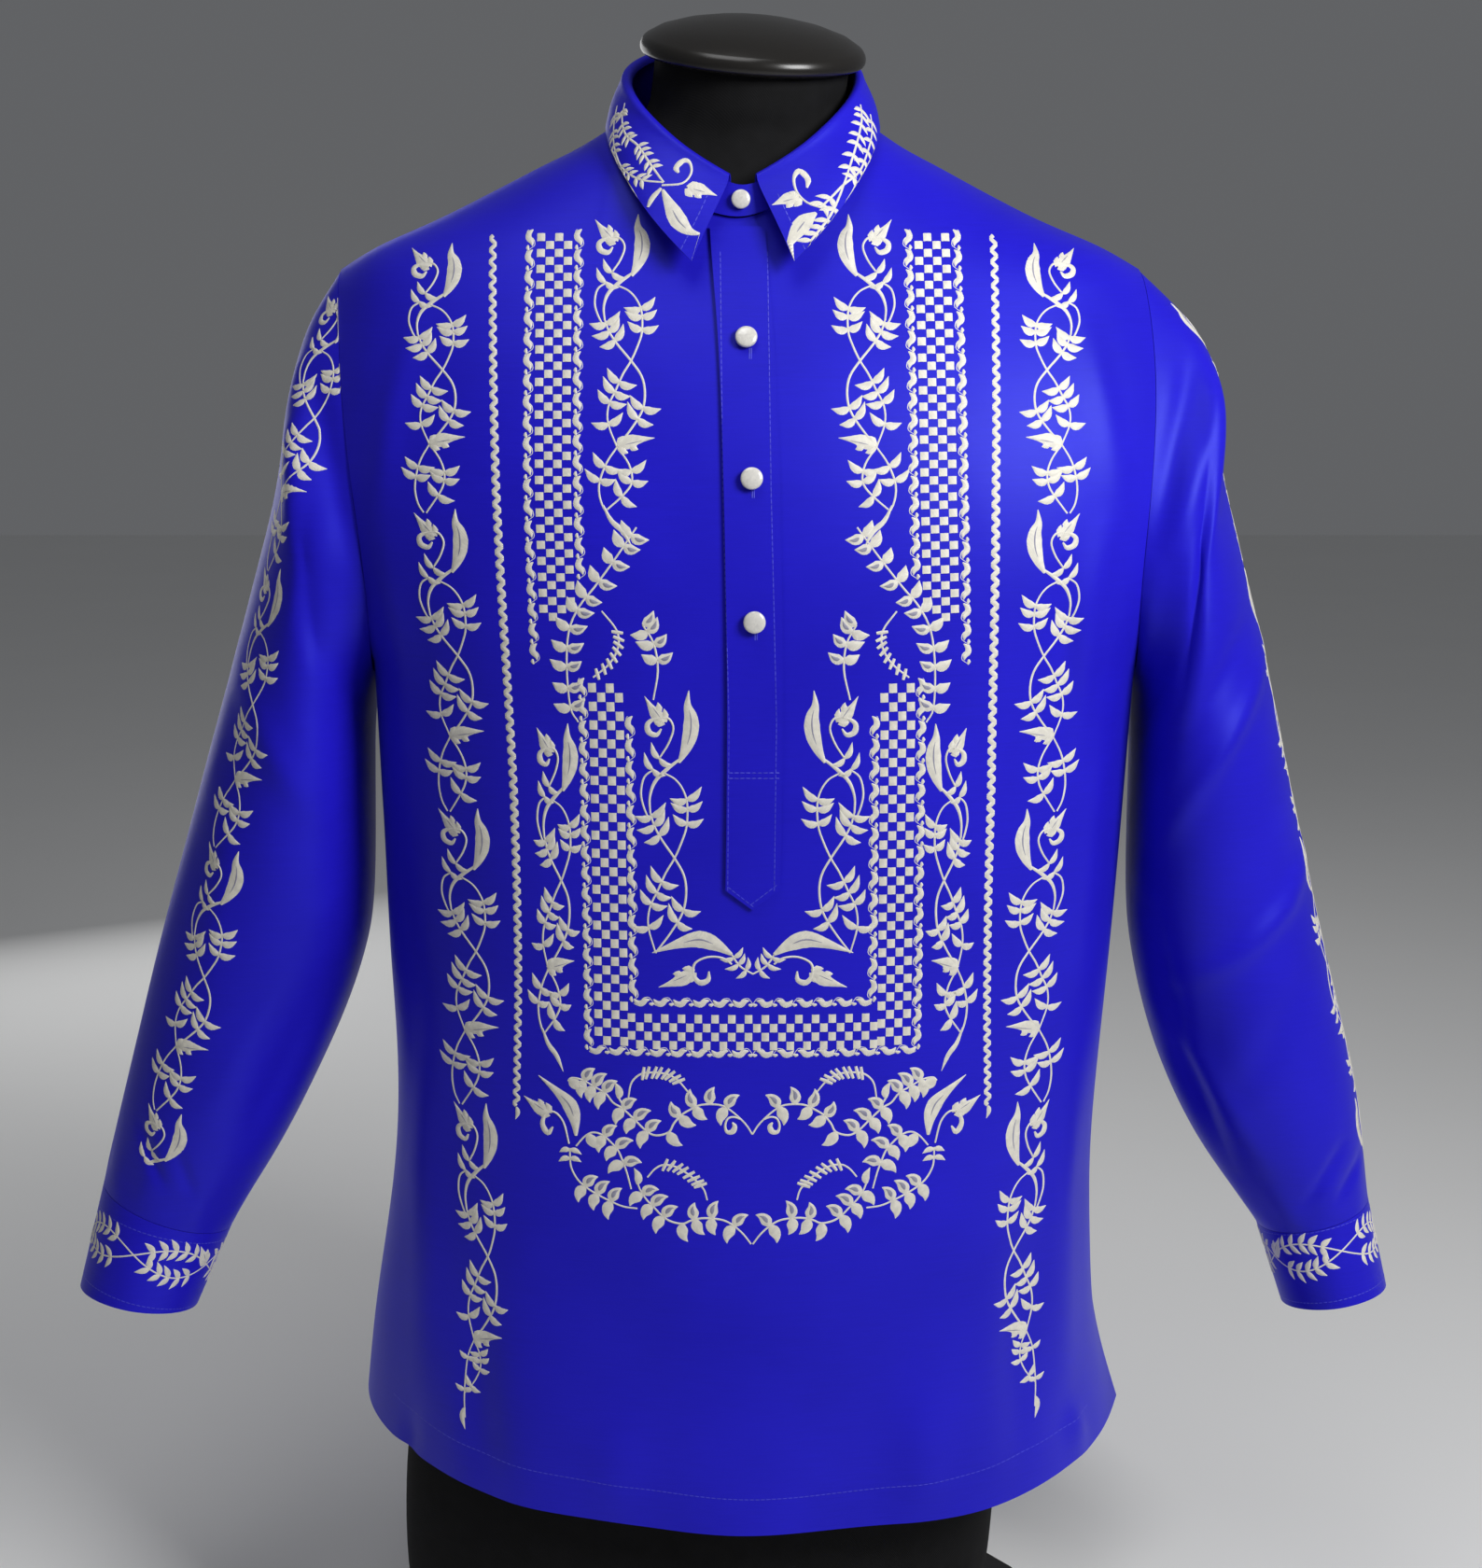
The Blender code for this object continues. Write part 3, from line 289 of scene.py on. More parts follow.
def board_lacquer():
    material, tree, shader = new_material("black_board", (0.010, 0.010, 0.011), 0.35)
    grain_place = add_node(tree, "ShaderNodeMapping", Vector=object_place(tree), Scale=(6, 60, 60))
    grain = add_node(tree, "ShaderNodeTexNoise", Vector=grain_place.outputs["Vector"], Scale=6.0, Detail=6.0)
    tree.links.new(blend_colours(tree, grain.outputs["Fac"], (0.007, 0.007, 0.008), (0.016, 0.015, 0.015)),
                   shader.inputs["Base Color"])
    add_bump(tree, shader, grain.outputs["Fac"], 0.1 * MM, 0.4)
    return material


def pale_floor():
    material, tree, shader = new_material("pale_floor", (0.86, 0.86, 0.85), 0.7)
    specks = add_node(tree, "ShaderNodeTexNoise", Vector=object_place(tree), Scale=3.0, Detail=3.0)
    tree.links.new(blend_colours(tree, specks.outputs["Fac"], (0.85, 0.85, 0.84), (0.88, 0.88, 0.87)),
                   shader.inputs["Base Color"])
    return material


PEARL = pearl()
JERSEY = jersey()
BLACK_GLOSS = black_gloss()
BOARD_LACQUER = board_lacquer()
floor.data.materials.append(pale_floor())
print("made the pearl, the jersey, the gloss, the board's lacquer and the floor")

# %% [markdown]
# ## From a cut piece's wall to thin cloth
#
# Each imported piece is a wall 1.5 mm thick with an outer skin, an inner skin and a rim. Real barong cloth is
# far thinner, so only the outer skin is kept. The copy is merged first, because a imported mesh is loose
# triangles. The rim's faces are told apart by their narrow side, and of the two skins the outer one is
# larger. A Subdivision Surface then smooths the skin and keeps its corners, creases are pressed into it,
# and a Solidify modifier gives it its own thickness inwards.

# %% Cloth helpers
WALL = 1.5 * MM
WIDEST_RIM = 1.15 * WALL  # a face with a side below this is part of the rim
CLOTH_THICKNESS = 0.7 * MM


def pick(*objects):
    """Selects these objects alone and makes the first one active."""
    bpy.ops.object.select_all(action="DESELECT")
    for item in objects:
        item.select_set(True)
    bpy.context.view_layer.objects.active = objects[0]


def modify(piece, kind, **settings):
    """Adds a modifier and applies it at once."""
    pick(piece)
    modifier = piece.modifiers.new(kind.lower(), kind)
    for key, value in settings.items():
        setattr(modifier, key, value)
    bpy.ops.object.modifier_apply(modifier=modifier.name)


def merged_copy(node, name):
    """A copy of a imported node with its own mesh, its loose triangles joined into a net of quads."""
    piece = bpy.data.objects.new(name, nodes[node].data.copy())
    bpy.context.scene.collection.objects.link(piece)
    pick(piece)
    bpy.ops.object.mode_set(mode="EDIT")
    bpy.ops.mesh.select_all(action="SELECT")
    bpy.ops.mesh.remove_doubles(threshold=0.02 * MM)
    bpy.ops.mesh.customdata_custom_splitnormals_clear()
    bpy.ops.mesh.tris_convert_to_quads(face_threshold=math.radians(60), shape_threshold=math.radians(75))
    bpy.ops.object.mode_set(mode="OBJECT")
    piece.data.materials.clear()
    return piece


# %% The outer skin of a wall
def connected(faces):
    """The faces as sets, one for each piece of skin that hangs together, the largest first."""
    waiting = set(faces)
    skins = []
    while waiting:
        edge_of_skin = [waiting.pop()]
        skin = set(edge_of_skin)
        while edge_of_skin:
            edges = edge_of_skin.pop().edges
            beside = {face for edge in edges for face in edge.link_faces if face in waiting}
            waiting -= beside
            skin |= beside
            edge_of_skin.extend(beside)
        skins.append(skin)
    return sorted(skins, key=lambda skin: sum(face.calc_area() for face in skin), reverse=True)


def keep_outer_skin(piece):
    """Deletes the wall's rim, and then the smaller of the two skins that are left."""
    mesh = bmesh.new()
    mesh.from_mesh(piece.data)
    rim = [face for face in mesh.faces if min(edge.calc_length() for edge in face.edges) < WIDEST_RIM]
    bmesh.ops.delete(mesh, geom=rim, context="FACES")
    for skin in connected(mesh.faces)[1:]:
        bmesh.ops.delete(mesh, geom=list(skin), context="FACES")
    for edge in mesh.edges:
        edge.smooth = True
    mesh.to_mesh(piece.data)
    mesh.free()


def smooth_skin(node, name, levels, sharp_points=()):
    """The outer skin of a packed cloth node, smoothed. Corners near the sharp points stay points."""
    piece = merged_copy(node, name)
    keep_outer_skin(piece)
    sharp = piece.data.attributes.new("crease_vert", "FLOAT", "POINT")
    for point in sharp_points:
        nearest = min(piece.data.vertices, key=lambda vertex: (vertex.co - Vector(point)).length)
        sharp.data[nearest.index].value = 1.0
    modify(piece, "SUBSURF", levels=levels, render_levels=levels, boundary_smooth="PRESERVE_CORNERS")
    print(f"{name}: {len(piece.data.polygons)} faces")
    return piece


# %% [markdown]
# ## Creases
#
# A crease is a short row of points drawn in the front or back view, with a width and a depth at its
# middle, and it fades towards its ends. Pressing it moves the cloth along its own normal: a trough is a
# negative depth and a ridge a positive one. Worn cloth has them where the arm bends and the sleeve hangs
# from the shoulder, at the seam of each cuff, and as long soft falls down the body.

# %% Pressing creases
Crease = namedtuple("Crease", "points width depth")
CREASE_REACH = 2.5  # widths to each side, past which nothing moves
TURNED_AWAY = 0.05  # cloth that faces forward or back by less than this isn't pressed


def distance_along(path, x, z):
    """How far (x, z) is from a path, and the share of its length where it is nearest."""
    lengths = [math.dist(a, b) for a, b in zip(path, path[1:])]
    best, passed = (math.inf, 0.0), 0.0
    for (ax, az), (bx, bz), length in zip(path, path[1:], lengths):
        share = ((x - ax) * (bx - ax) + (z - az) * (bz - az)) / length**2
        share = min(max(share, 0.0), 1.0)
        away = math.hypot(x - ax - (bx - ax) * share, z - az - (bz - az) * share)
        if away < best[0]:
            best = (away, (passed + share * length) / sum(lengths))
        passed += length
    return best


def press(piece, facing, creases):
    """Presses creases into a piece, on the side that faces this way: -1 is the front and 1 the back."""
    mesh = piece.data
    moved = [Vector() for _ in mesh.vertices]
    for crease in creases:
        reach = CREASE_REACH * crease.width
        xs, zs = zip(*crease.points)
        for vertex in mesh.vertices:
            x, y, z = vertex.co
            outside = not (min(xs) - reach < x < max(xs) + reach and min(zs) - reach < z < max(zs) + reach)
            if outside or vertex.normal.y * facing < TURNED_AWAY:
                continue
            away, share = distance_along(crease.points, x, z)
            turned = min(1.0, vertex.normal.y * facing * 2)
            fade = math.sin(math.pi * (0.08 + 0.84 * share)) ** 0.8
            push = crease.depth * fade * turned * math.exp(-((away / crease.width) ** 2))
            moved[vertex.index] += vertex.normal * push
    for vertex, move in zip(mesh.vertices, moved):
        vertex.co += move
    mesh.update()


# %% [markdown]
# ## The cut pieces as cloth
#
# The pieces are made one after another: the front and back, the sleeves, the cuffs, the collar and the
# placket band.

# %% Front and back
front = smooth_skin("front", "shirt_front", 3)
press(front, -1, (
    Crease(((0.196, 0.735), (0.186, 0.690), (0.181, 0.630)), 9 * MM, 2.4 * MM),
    Crease(((0.172, 0.715), (0.178, 0.650), (0.176, 0.580)), 7 * MM, -1.8 * MM),
    Crease(((0.203, 0.640), (0.193, 0.560), (0.194, 0.480)), 10 * MM, 2.7 * MM),
    Crease(((-0.196, 0.730), (-0.190, 0.660), (-0.193, 0.580)), 10 * MM, 2.2 * MM),
    Crease(((-0.203, 0.560), (-0.192, 0.480), (-0.194, 0.380)), 12 * MM, -2.7 * MM),
    Crease(((-0.186, 0.420), (-0.183, 0.330), (-0.188, 0.240)), 12 * MM, 3.3 * MM),
    Crease(((0.190, 0.430), (0.184, 0.340), (0.190, 0.230)), 11 * MM, 3.6 * MM),
    Crease(((0.160, 0.330), (0.158, 0.260), (0.163, 0.195)), 12 * MM, -3.0 * MM),
    Crease(((-0.150, 0.300), (-0.152, 0.240), (-0.148, 0.190)), 13 * MM, -3.3 * MM),
    Crease(((0.100, 0.250), (0.103, 0.200), (0.099, 0.178)), 15 * MM, 2.4 * MM),
    Crease(((-0.070, 0.240), (-0.073, 0.200), (-0.071, 0.178)), 16 * MM, 2.1 * MM),
    Crease(((0.185, 0.845), (0.196, 0.800), (0.203, 0.750)), 9 * MM, 1.8 * MM),
    Crease(((-0.178, 0.846), (-0.190, 0.800), (-0.198, 0.745)), 9 * MM, 1.8 * MM),
    Crease(((-0.1945, 0.214), (-0.1985, 0.196), (-0.2010, 0.186)), 6 * MM, -2.7 * MM),
    Crease(((0.1945, 0.212), (0.1995, 0.196), (0.2040, 0.186)), 6 * MM, 3.3 * MM),
))

back = smooth_skin("back", "shirt_back", 2)
press(back, 1, (
    Crease(((0.120, 0.840), (0.130, 0.760), (0.135, 0.680)), 12 * MM, 2.2 * MM),
    Crease(((-0.125, 0.835), (-0.132, 0.750), (-0.128, 0.670)), 12 * MM, 2.2 * MM),
    Crease(((0.185, 0.700), (0.170, 0.600), (0.174, 0.480)), 13 * MM, 3.6 * MM),
    Crease(((-0.188, 0.710), (-0.172, 0.590), (-0.176, 0.470)), 13 * MM, 3.3 * MM),
    Crease(((0.095, 0.560), (0.100, 0.440), (0.092, 0.300)), 14 * MM, 3.0 * MM),
    Crease(((-0.088, 0.540), (-0.096, 0.420), (-0.090, 0.280)), 15 * MM, 3.4 * MM),
    Crease(((0.030, 0.480), (0.022, 0.380), (0.028, 0.250)), 16 * MM, -2.4 * MM),
    Crease(((-0.040, 0.430), (-0.034, 0.330), (-0.038, 0.230)), 14 * MM, -2.1 * MM),
))

# %% [markdown]
# A long sleeve pulls from the shoulder to the armpit, breaks softly at the elbow and is drawn in at the
# cuff. So its creases fan out below the armpit, cross the inner elbow, and stand as short puckers above the
# cuff.

# %% Sleeves
sleeves = {side: smooth_skin(f"sleeve_{side}", f"shirt_sleeve_{side}", 3) for side in ("left", "right")}
press(sleeves["left"], -1, (
    Crease(((0.250, 0.828), (0.237, 0.780), (0.226, 0.730)), 8 * MM, -3.6 * MM),
    Crease(((0.269, 0.826), (0.256, 0.783), (0.236, 0.730)), 9 * MM, 4.0 * MM),
    Crease(((0.306, 0.682), (0.292, 0.655), (0.254, 0.592), (0.236, 0.555)), 6.5 * MM, 3.4 * MM),
    Crease(((0.336, 0.556), (0.312, 0.520), (0.280, 0.490), (0.250, 0.470)), 7 * MM, 3.0 * MM),
    Crease(((0.288, 0.690), (0.262, 0.648), (0.238, 0.604)), 8 * MM, -2.6 * MM),
    Crease(((0.234, 0.511), (0.256, 0.425), (0.288, 0.348)), 8 * MM, -5.5 * MM),
    Crease(((0.238, 0.455), (0.270, 0.415), (0.306, 0.362)), 8 * MM, 2.2 * MM),
    Crease(((0.318, 0.470), (0.300, 0.430), (0.282, 0.400)), 10 * MM, -1.6 * MM),
    Crease(((0.352, 0.372), (0.340, 0.352), (0.332, 0.338)), 4 * MM, -2.0 * MM),
    Crease(((0.368, 0.362), (0.358, 0.348), (0.352, 0.340)), 4 * MM, -1.6 * MM),
))
press(sleeves["left"], 1, (
    Crease(((0.256, 0.820), (0.244, 0.770), (0.236, 0.700)), 10 * MM, -3.0 * MM),
    Crease(((0.275, 0.560), (0.262, 0.500), (0.256, 0.440)), 10 * MM, -2.4 * MM),
    Crease(((0.300, 0.520), (0.292, 0.460), (0.300, 0.400)), 10 * MM, 2.0 * MM),
    Crease(((0.262, 0.430), (0.290, 0.400), (0.322, 0.360)), 8 * MM, -2.6 * MM),
    Crease(((0.340, 0.380), (0.345, 0.360), (0.350, 0.345)), 4 * MM, -1.6 * MM),
))
press(sleeves["right"], -1, (
    Crease(((-0.238, 0.815), (-0.224, 0.765), (-0.212, 0.715)), 9 * MM, -3.0 * MM),
    Crease(((-0.250, 0.770), (-0.236, 0.720), (-0.226, 0.670)), 10 * MM, 2.0 * MM),
    Crease(((-0.285, 0.660), (-0.262, 0.612), (-0.240, 0.575)), 10 * MM, 2.2 * MM),
    Crease(((-0.300, 0.600), (-0.296, 0.540), (-0.306, 0.480)), 11 * MM, 1.4 * MM),
    Crease(((-0.240, 0.470), (-0.262, 0.430), (-0.292, 0.375)), 9 * MM, -2.4 * MM),
    Crease(((-0.262, 0.480), (-0.286, 0.440), (-0.312, 0.390)), 9 * MM, 1.6 * MM),
    Crease(((-0.352, 0.385), (-0.345, 0.362), (-0.340, 0.350)), 4 * MM, -1.8 * MM),
    Crease(((-0.330, 0.372), (-0.326, 0.352), (-0.324, 0.342)), 4 * MM, -1.4 * MM),
))
press(sleeves["right"], 1, (
    Crease(((-0.250, 0.815), (-0.238, 0.765), (-0.232, 0.700)), 10 * MM, -2.8 * MM),
    Crease(((-0.270, 0.570), (-0.262, 0.510), (-0.262, 0.450)), 11 * MM, 2.0 * MM),
    Crease(((-0.250, 0.500), (-0.272, 0.450), (-0.305, 0.400)), 9 * MM, -2.4 * MM),
    Crease(((-0.345, 0.385), (-0.350, 0.365), (-0.352, 0.350)), 4 * MM, -1.6 * MM),
))

# %% [markdown]
# The cuffs, the collar and the placket band are stiffened inside, so they stay smooth. The band's point is
# kept sharp, and each cuff has one shallow fold.

# %% Cuffs, collar and placket band
PLACKET_POINT = (0.0040, -0.135, 0.536)
cuffs = {side: smooth_skin(f"cuff_{side}", f"shirt_cuff_{side}", 3) for side in ("left", "right")}
stand = smooth_skin("collar_stand", "shirt_collar_stand", 3)
leaf = smooth_skin("collar_leaf", "shirt_collar_leaf", 3)
band = smooth_skin("placket", "shirt_placket", 3, sharp_points=(PLACKET_POINT,))
press(cuffs["left"], -1, (Crease(((0.352, 0.305), (0.350, 0.285), (0.352, 0.268)), 10 * MM, 0.8 * MM),))
press(cuffs["right"], -1, (Crease(((-0.356, 0.310), (-0.360, 0.290), (-0.362, 0.270)), 11 * MM, 0.9 * MM),))

# %% [markdown]
# ## Finding a place on the cloth
#
# Embroidery and stitching are drawn flat, as a pattern is on paper, and then laid on the cloth. A Skin
# answers one question: where does a point that falls this way land, and which way does the cloth face
# there? Three ways of laying serve the whole shirt: straight back onto the front, round an upright or
# slanting axis onto the collar and the cuffs, and along a line drawn down a sleeve.


# %% Ways of laying a flat pattern
BEFORE_SHIRT = -0.30  # points fall back from this y, in metres
DROP_HEIGHT = 0.03  # and onto a sleeve from this far above it
LOOK_BEYOND = 0.02  # one that misses looks for the nearest cloth from this much further on


class Skin:
    """The outer skin of one or more pieces, for dropping points on."""

    def __init__(self, *pieces):
        corners, faces = [], []
        for piece in pieces:
            start = len(corners)
            corners.extend(vertex.co.copy() for vertex in piece.data.vertices)
            faces.extend([start + index for index in face.vertices] for face in piece.data.polygons)
        self.tree = BVHTree.FromPolygons(corners, faces)

    def drop(self, start, direction):
        """Where a falling point lands, or the nearest cloth if it misses, and the cloth's normal there."""
        place, normal = self.tree.ray_cast(start, direction)[:2]
        if place is None:
            place, normal = self.tree.find_nearest(start + direction * LOOK_BEYOND)[:2]
        return place, normal if normal.dot(direction) < 0 else -normal


def straight_back(skin):
    """(x, z) falls straight back onto the front."""
    return lambda across, up: skin.drop(Vector((across, BEFORE_SHIRT, up)), Vector((0, 1, 0)))


def round_axis(skin, centre, axis, front, radius):
    """Across is measured round an axis from the front, at this radius, and up along it."""
    centre, axis = Vector(centre), Vector(axis).normalized()
    front = (Vector(front) - axis * axis.dot(front)).normalized()
    side = axis.cross(front)

    def place(across, up):
        outwards = front * math.cos(across / radius) + side * math.sin(across / radius)
        return skin.drop(centre + axis * up + outwards * 3 * radius, -outwards)

    return place


def along_line(skin, points):
    """Up is measured back along a line drawn on the cloth, from its top, and across is square to it."""
    points = [Vector(point) for point in points]
    lengths = [(b - a).length for a, b in zip(points, points[1:])]
    normals = [skin.tree.find_nearest(point)[1] for point in points]

    def place(across, up):
        left, i = -up, 0
        while i < len(lengths) - 1 and left > lengths[i]:
            left -= lengths[i]
            i += 1
        share = left / lengths[i]
        point = points[i].lerp(points[i + 1], share)
        normal = normals[i].lerp(normals[i + 1], min(max(share, 0.0), 1.0)).normalized()
        down = (points[i + 1] - points[i]).normalized()
        beside = normal.cross(down).normalized()
        return skin.drop(point + beside * across + normal * DROP_HEIGHT, -normal)

    return place


# %% [markdown]
# ## Strokes of thread
#
# Every motif is made of strokes. A stroke follows a short path and has a width at each of its points. On
# the cloth it is a low ridge: its two sides lie on the cloth and its crown stands a few tenths of a
# millimetre above it. The UV map holds metres across and along the stroke, which the thread material reads.

# %% Strokes
Stroke = namedtuple("Stroke", "path widths height lift")
RIDGE = ((-0.5, 0), (-0.22, 0.86), (0.22, 0.86), (0.5, 0))  # shares of the width and of the height
FULL_HEIGHT_WIDTH = 1.2 * MM  # a narrower stroke is lower
SIDES_SINK = 0.06 * MM
THREAD_HEIGHT = 0.42 * MM


def add(a, b, scale=1.0):
    return a[0] + b[0] * scale, a[1] + b[1] * scale


def heading(degrees, length=1.0):
    """A step in a direction: 0 is to the right and 90 is up."""
    return length * math.cos(math.radians(degrees)), length * math.sin(math.radians(degrees))


def rounded(path, steps=4):
    """A path with smooth curves through its points (Catmull-Rom)."""
    first = add(path[0], add(path[0], path[1], -1))
    last = add(path[-1], add(path[-1], path[-2], -1))
    points = [first, *path, last]
    smooth = []
    for four in zip(points, points[1:], points[2:], points[3:]):
        for k in range(steps):
            t = k / steps
            weights = (-t + 2 * t**2 - t**3, 2 - 5 * t**2 + 3 * t**3, t + 4 * t**2 - 3 * t**3, t**3 - t**2)
            smooth.append(tuple(sum(w * p[axis] for w, p in zip(weights, four)) / 2 for axis in (0, 1)))
    return smooth + [tuple(path[-1])]


def tapered(count, shape):
    """Widths for a number of points, read from a few shares along the stroke."""
    widths = []
    for i in range(count):
        at = i / (count - 1) * (len(shape) - 1)
        low = min(int(at), len(shape) - 2)
        widths.append(shape[low] + (shape[low + 1] - shape[low]) * (at - low))
    return widths


def stroke(path, shape, width, height=THREAD_HEIGHT, lift=0.0, steps=4):
    """One stroke of thread. The shape lists shares of the width from its start to its end."""
    smooth = rounded(path, steps)
    return Stroke(smooth, [width * share for share in tapered(len(smooth), shape)], height, lift)


# %% Sewing strokes on the cloth
def sew(name, placed_strokes, material):
    """Lays strokes on the cloth, each with its own way of laying, as one object."""
    mesh = bmesh.new()
    uv = mesh.loops.layers.uv.new("UVMap")
    for lay, item in placed_strokes:
        rows, along = [], 0.0
        for i, (point, width) in enumerate(zip(item.path, item.widths)):
            before, after = item.path[max(i - 1, 0)], item.path[min(i + 1, len(item.path) - 1)]
            ahead = add(after, before, -1)
            length = math.hypot(*ahead) or 1.0
            aside = (-ahead[1] / length, ahead[0] / length)
            if i:
                along += math.dist(point, item.path[i - 1])
            row = []
            for share, height in RIDGE:
                place, normal = lay(*add(point, aside, share * width))
                crown = min(1.0, width / FULL_HEIGHT_WIDTH) * item.height * height
                vertex = mesh.verts.new(place + normal * (crown - SIDES_SINK + item.lift))
                row.append((vertex, (share * width, along)))
            rows.append(row)
        for low, high in zip(rows, rows[1:]):
            for k in range(len(low) - 1):
                corners = (low[k], low[k + 1], high[k + 1], high[k])
                face = mesh.faces.new([corner[0] for corner in corners])
                face.smooth = True
                for loop, corner in zip(face.loops, corners):
                    loop[uv].uv = corner[1]
    bmesh.ops.recalc_face_normals(mesh, faces=mesh.faces)
    data = bpy.data.meshes.new(name)
    mesh.to_mesh(data)
    mesh.free()
    data.materials.append(material)
    piece = bpy.data.objects.new(name, data)
    bpy.context.scene.collection.objects.link(piece)
    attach(piece, "root")
    print(f"{name}: {len(placed_strokes)} strokes, {len(data.polygons) * 2} triangles")


# %% [markdown]
# ## Motifs
#
# The traditional forms of barong embroidery are few: a curled leaflet, a broad leaf with a shaded rib, a
# jagged leaf, a scroll, stems that cross, a comb of short bars, a check of small squares and a chain. Each
# is a function that returns strokes in flat millimetres.

# %% Leaves, scrolls and bars
STEM = 1.25  # millimetres wide
LEAFLET = (0.30, 0.90, 1.0, 0.80, 0.42, 0.05)  # shares of the width, from stem to tip
CURL_OUT = (-20, -2, 20, 22)  # how a leaflet turns, in degrees, from stem to tip
CURL_IN = (-14, -2, 14, 34)
CURL_NONE = (-6, 0, 4, 8)


def leaflet(base, degrees, length=9.0, width=3.9, bend=1, curl=CURL_OUT):
    """A plump leaflet: it leaves its stem, turns forward, and its fine tip flicks to one side."""
    path = [base]
    for turn in curl:
        path.append(add(path[-1], heading(degrees + bend * turn, length / 4)))
    return stroke(path, LEAFLET, width, steps=2)


def ribbed_leaf(path, width, rib=True):
    """A broad leaf along a path, with a darker rib sewn on top."""
    leaf = [("thread", stroke(path, (0.18, 0.55, 0.92, 1.0, 0.74, 0.38, 0.05), width, 0.55 * MM))]
    if rib:
        inside = path[1:-1]
        leaf.append(("shade", stroke(inside, (0.1, 0.8, 1.0, 0.7, 0.1), 0.12 * width, 0.35 * MM, 0.36 * MM)))
    return leaf


def jagged_leaf(base, tip, width):
    """A leaf with teeth: one broad pointed blade, with short teeth at its base and a darker rib."""
    length = math.dist(base, tip)
    degrees = math.degrees(math.atan2(tip[1] - base[1], tip[0] - base[0]))
    blade = [base, add(base, heading(degrees + 7, length * 0.45)), tip]
    parts = [("thread", stroke(blade, (0.25, 0.85, 1.0, 0.84, 0.50, 0.24, 0.04), width * 0.84, 0.5 * MM))]
    for share, side, reach in ((0.06, -1, 0.56), (0.06, 1, 0.56), (0.36, -1, 0.48)):
        root = add(base, heading(degrees, length * share))
        tooth = [root, add(root, heading(degrees + side * 66, width * reach * 0.55)),
                 add(root, heading(degrees + side * 48, width * reach))]
        parts.append(("thread", stroke(tooth, (1.0, 0.9, 0.05), width * 0.52, steps=2)))
    rib = [add(base, heading(degrees, length * 0.12)), add(base, heading(degrees, length * 0.7))]
    parts.append(("shade", stroke(rib, (0.3, 1.0, 0.2), 0.8, 0.3 * MM, 0.34 * MM)))
    return parts


def scroll(path):
    """A curl that is thick in its bowl and thin along its stem."""
    return [("thread", stroke(path, (0.25, 0.8, 1.0, 0.75, 0.45, 0.36, 0.34, 0.34, 0.3), 3.6, 0.5 * MM))]


def stem(path, width=STEM):
    return [("thread", stroke(path, (0.85, 1.0, 1.0, 0.85), width, 0.34 * MM))]


# %% Rows of leaflets and bars on a stem
def pairs(path, shares, length=9.6, width=4.7, spread=77, sides=(1, -1), curl=CURL_OUT, shaded=0):
    """Leaflets on a stem at shares of its length, on both sides or one. A shaded side has grey hearts."""
    smooth = rounded(path, 8)
    parts = []
    for k, share in enumerate(shares):
        i = min(int(share * (len(smooth) - 1)), len(smooth) - 2)
        back = add(smooth[i], smooth[i + 1], -1)
        degrees = math.degrees(math.atan2(back[1], back[0]))
        for side in sides:
            size = length * (0.94 + 0.05 * ((k * 7 + side) % 3))
            parts.append(("thread", leaflet(smooth[i], degrees + side * spread, size, width, -side, curl)))
            if side == shaded:
                inside = add(smooth[i], heading(degrees + side * (spread + 12), size * 0.24))
                heart = leaflet(inside, degrees + side * spread, size * 0.56, width * 0.34, -side, curl)
                parts.append(("shade", heart._replace(lift=0.36 * MM, height=0.3 * MM)))
    return parts


def comb(path, shares, count, length=7.6):
    """Short bars across an arching stem, between two shares of it."""
    smooth = rounded(path, 8)
    parts = stem(path)
    for k in range(count):
        share = shares[0] + (shares[1] - shares[0]) * k / (count - 1)
        i = min(int(share * (len(smooth) - 1)), len(smooth) - 2)
        along = add(smooth[i + 1], smooth[i], -1)
        degrees = math.degrees(math.atan2(along[1], along[0])) + 68
        bar = [add(smooth[i], heading(degrees, reach)) for reach in (-length / 2, 0, length / 2)]
        parts.append(("thread", stroke(bar, (0.7, 1.0, 0.7), 2.3, steps=1)))
    return parts


# %% Borders, checks and the chain
def beads(path, pitch=10.7):
    """A border like a loose rope: slanting S-shaped beads, dots, and a thin thread winding between them."""
    start, end = path
    count = round(math.dist(start, end) / pitch)
    pitch = math.dist(start, end) / count
    degrees = math.degrees(math.atan2(end[1] - start[1], end[0] - start[0]))

    def across(k, rows):
        return [add(add(start, heading(degrees, (k + along) * pitch)), heading(degrees + 90, aside))
                for along, aside in rows]

    parts = []
    for k in range(count):
        bead = across(k, ((0.0, 1.4), (0.18, -0.8), (0.40, -1.1), (0.60, 0.6), (0.82, 1.1)))
        parts.append(("thread", stroke(bead, (0.15, 0.8, 1.0, 1.0, 0.7, 0.12), 3.7, steps=3)))
        small = across(k, ((0.78, -1.1), (0.90, -1.5), (1.04, -0.8)))
        parts.append(("thread", stroke(small, (0.4, 1.0, 0.4), 2.2, steps=2)))
        thin = across(k, ((0.0, -1.2), (0.2, -2.2), (0.45, 1.4), (0.62, 2.3), (0.8, 2.2), (1.0, -0.9)))
        parts.append(("thread", stroke(thin, (0.7, 1.0, 0.7), 0.7, 0.25 * MM, steps=2)))
    return parts


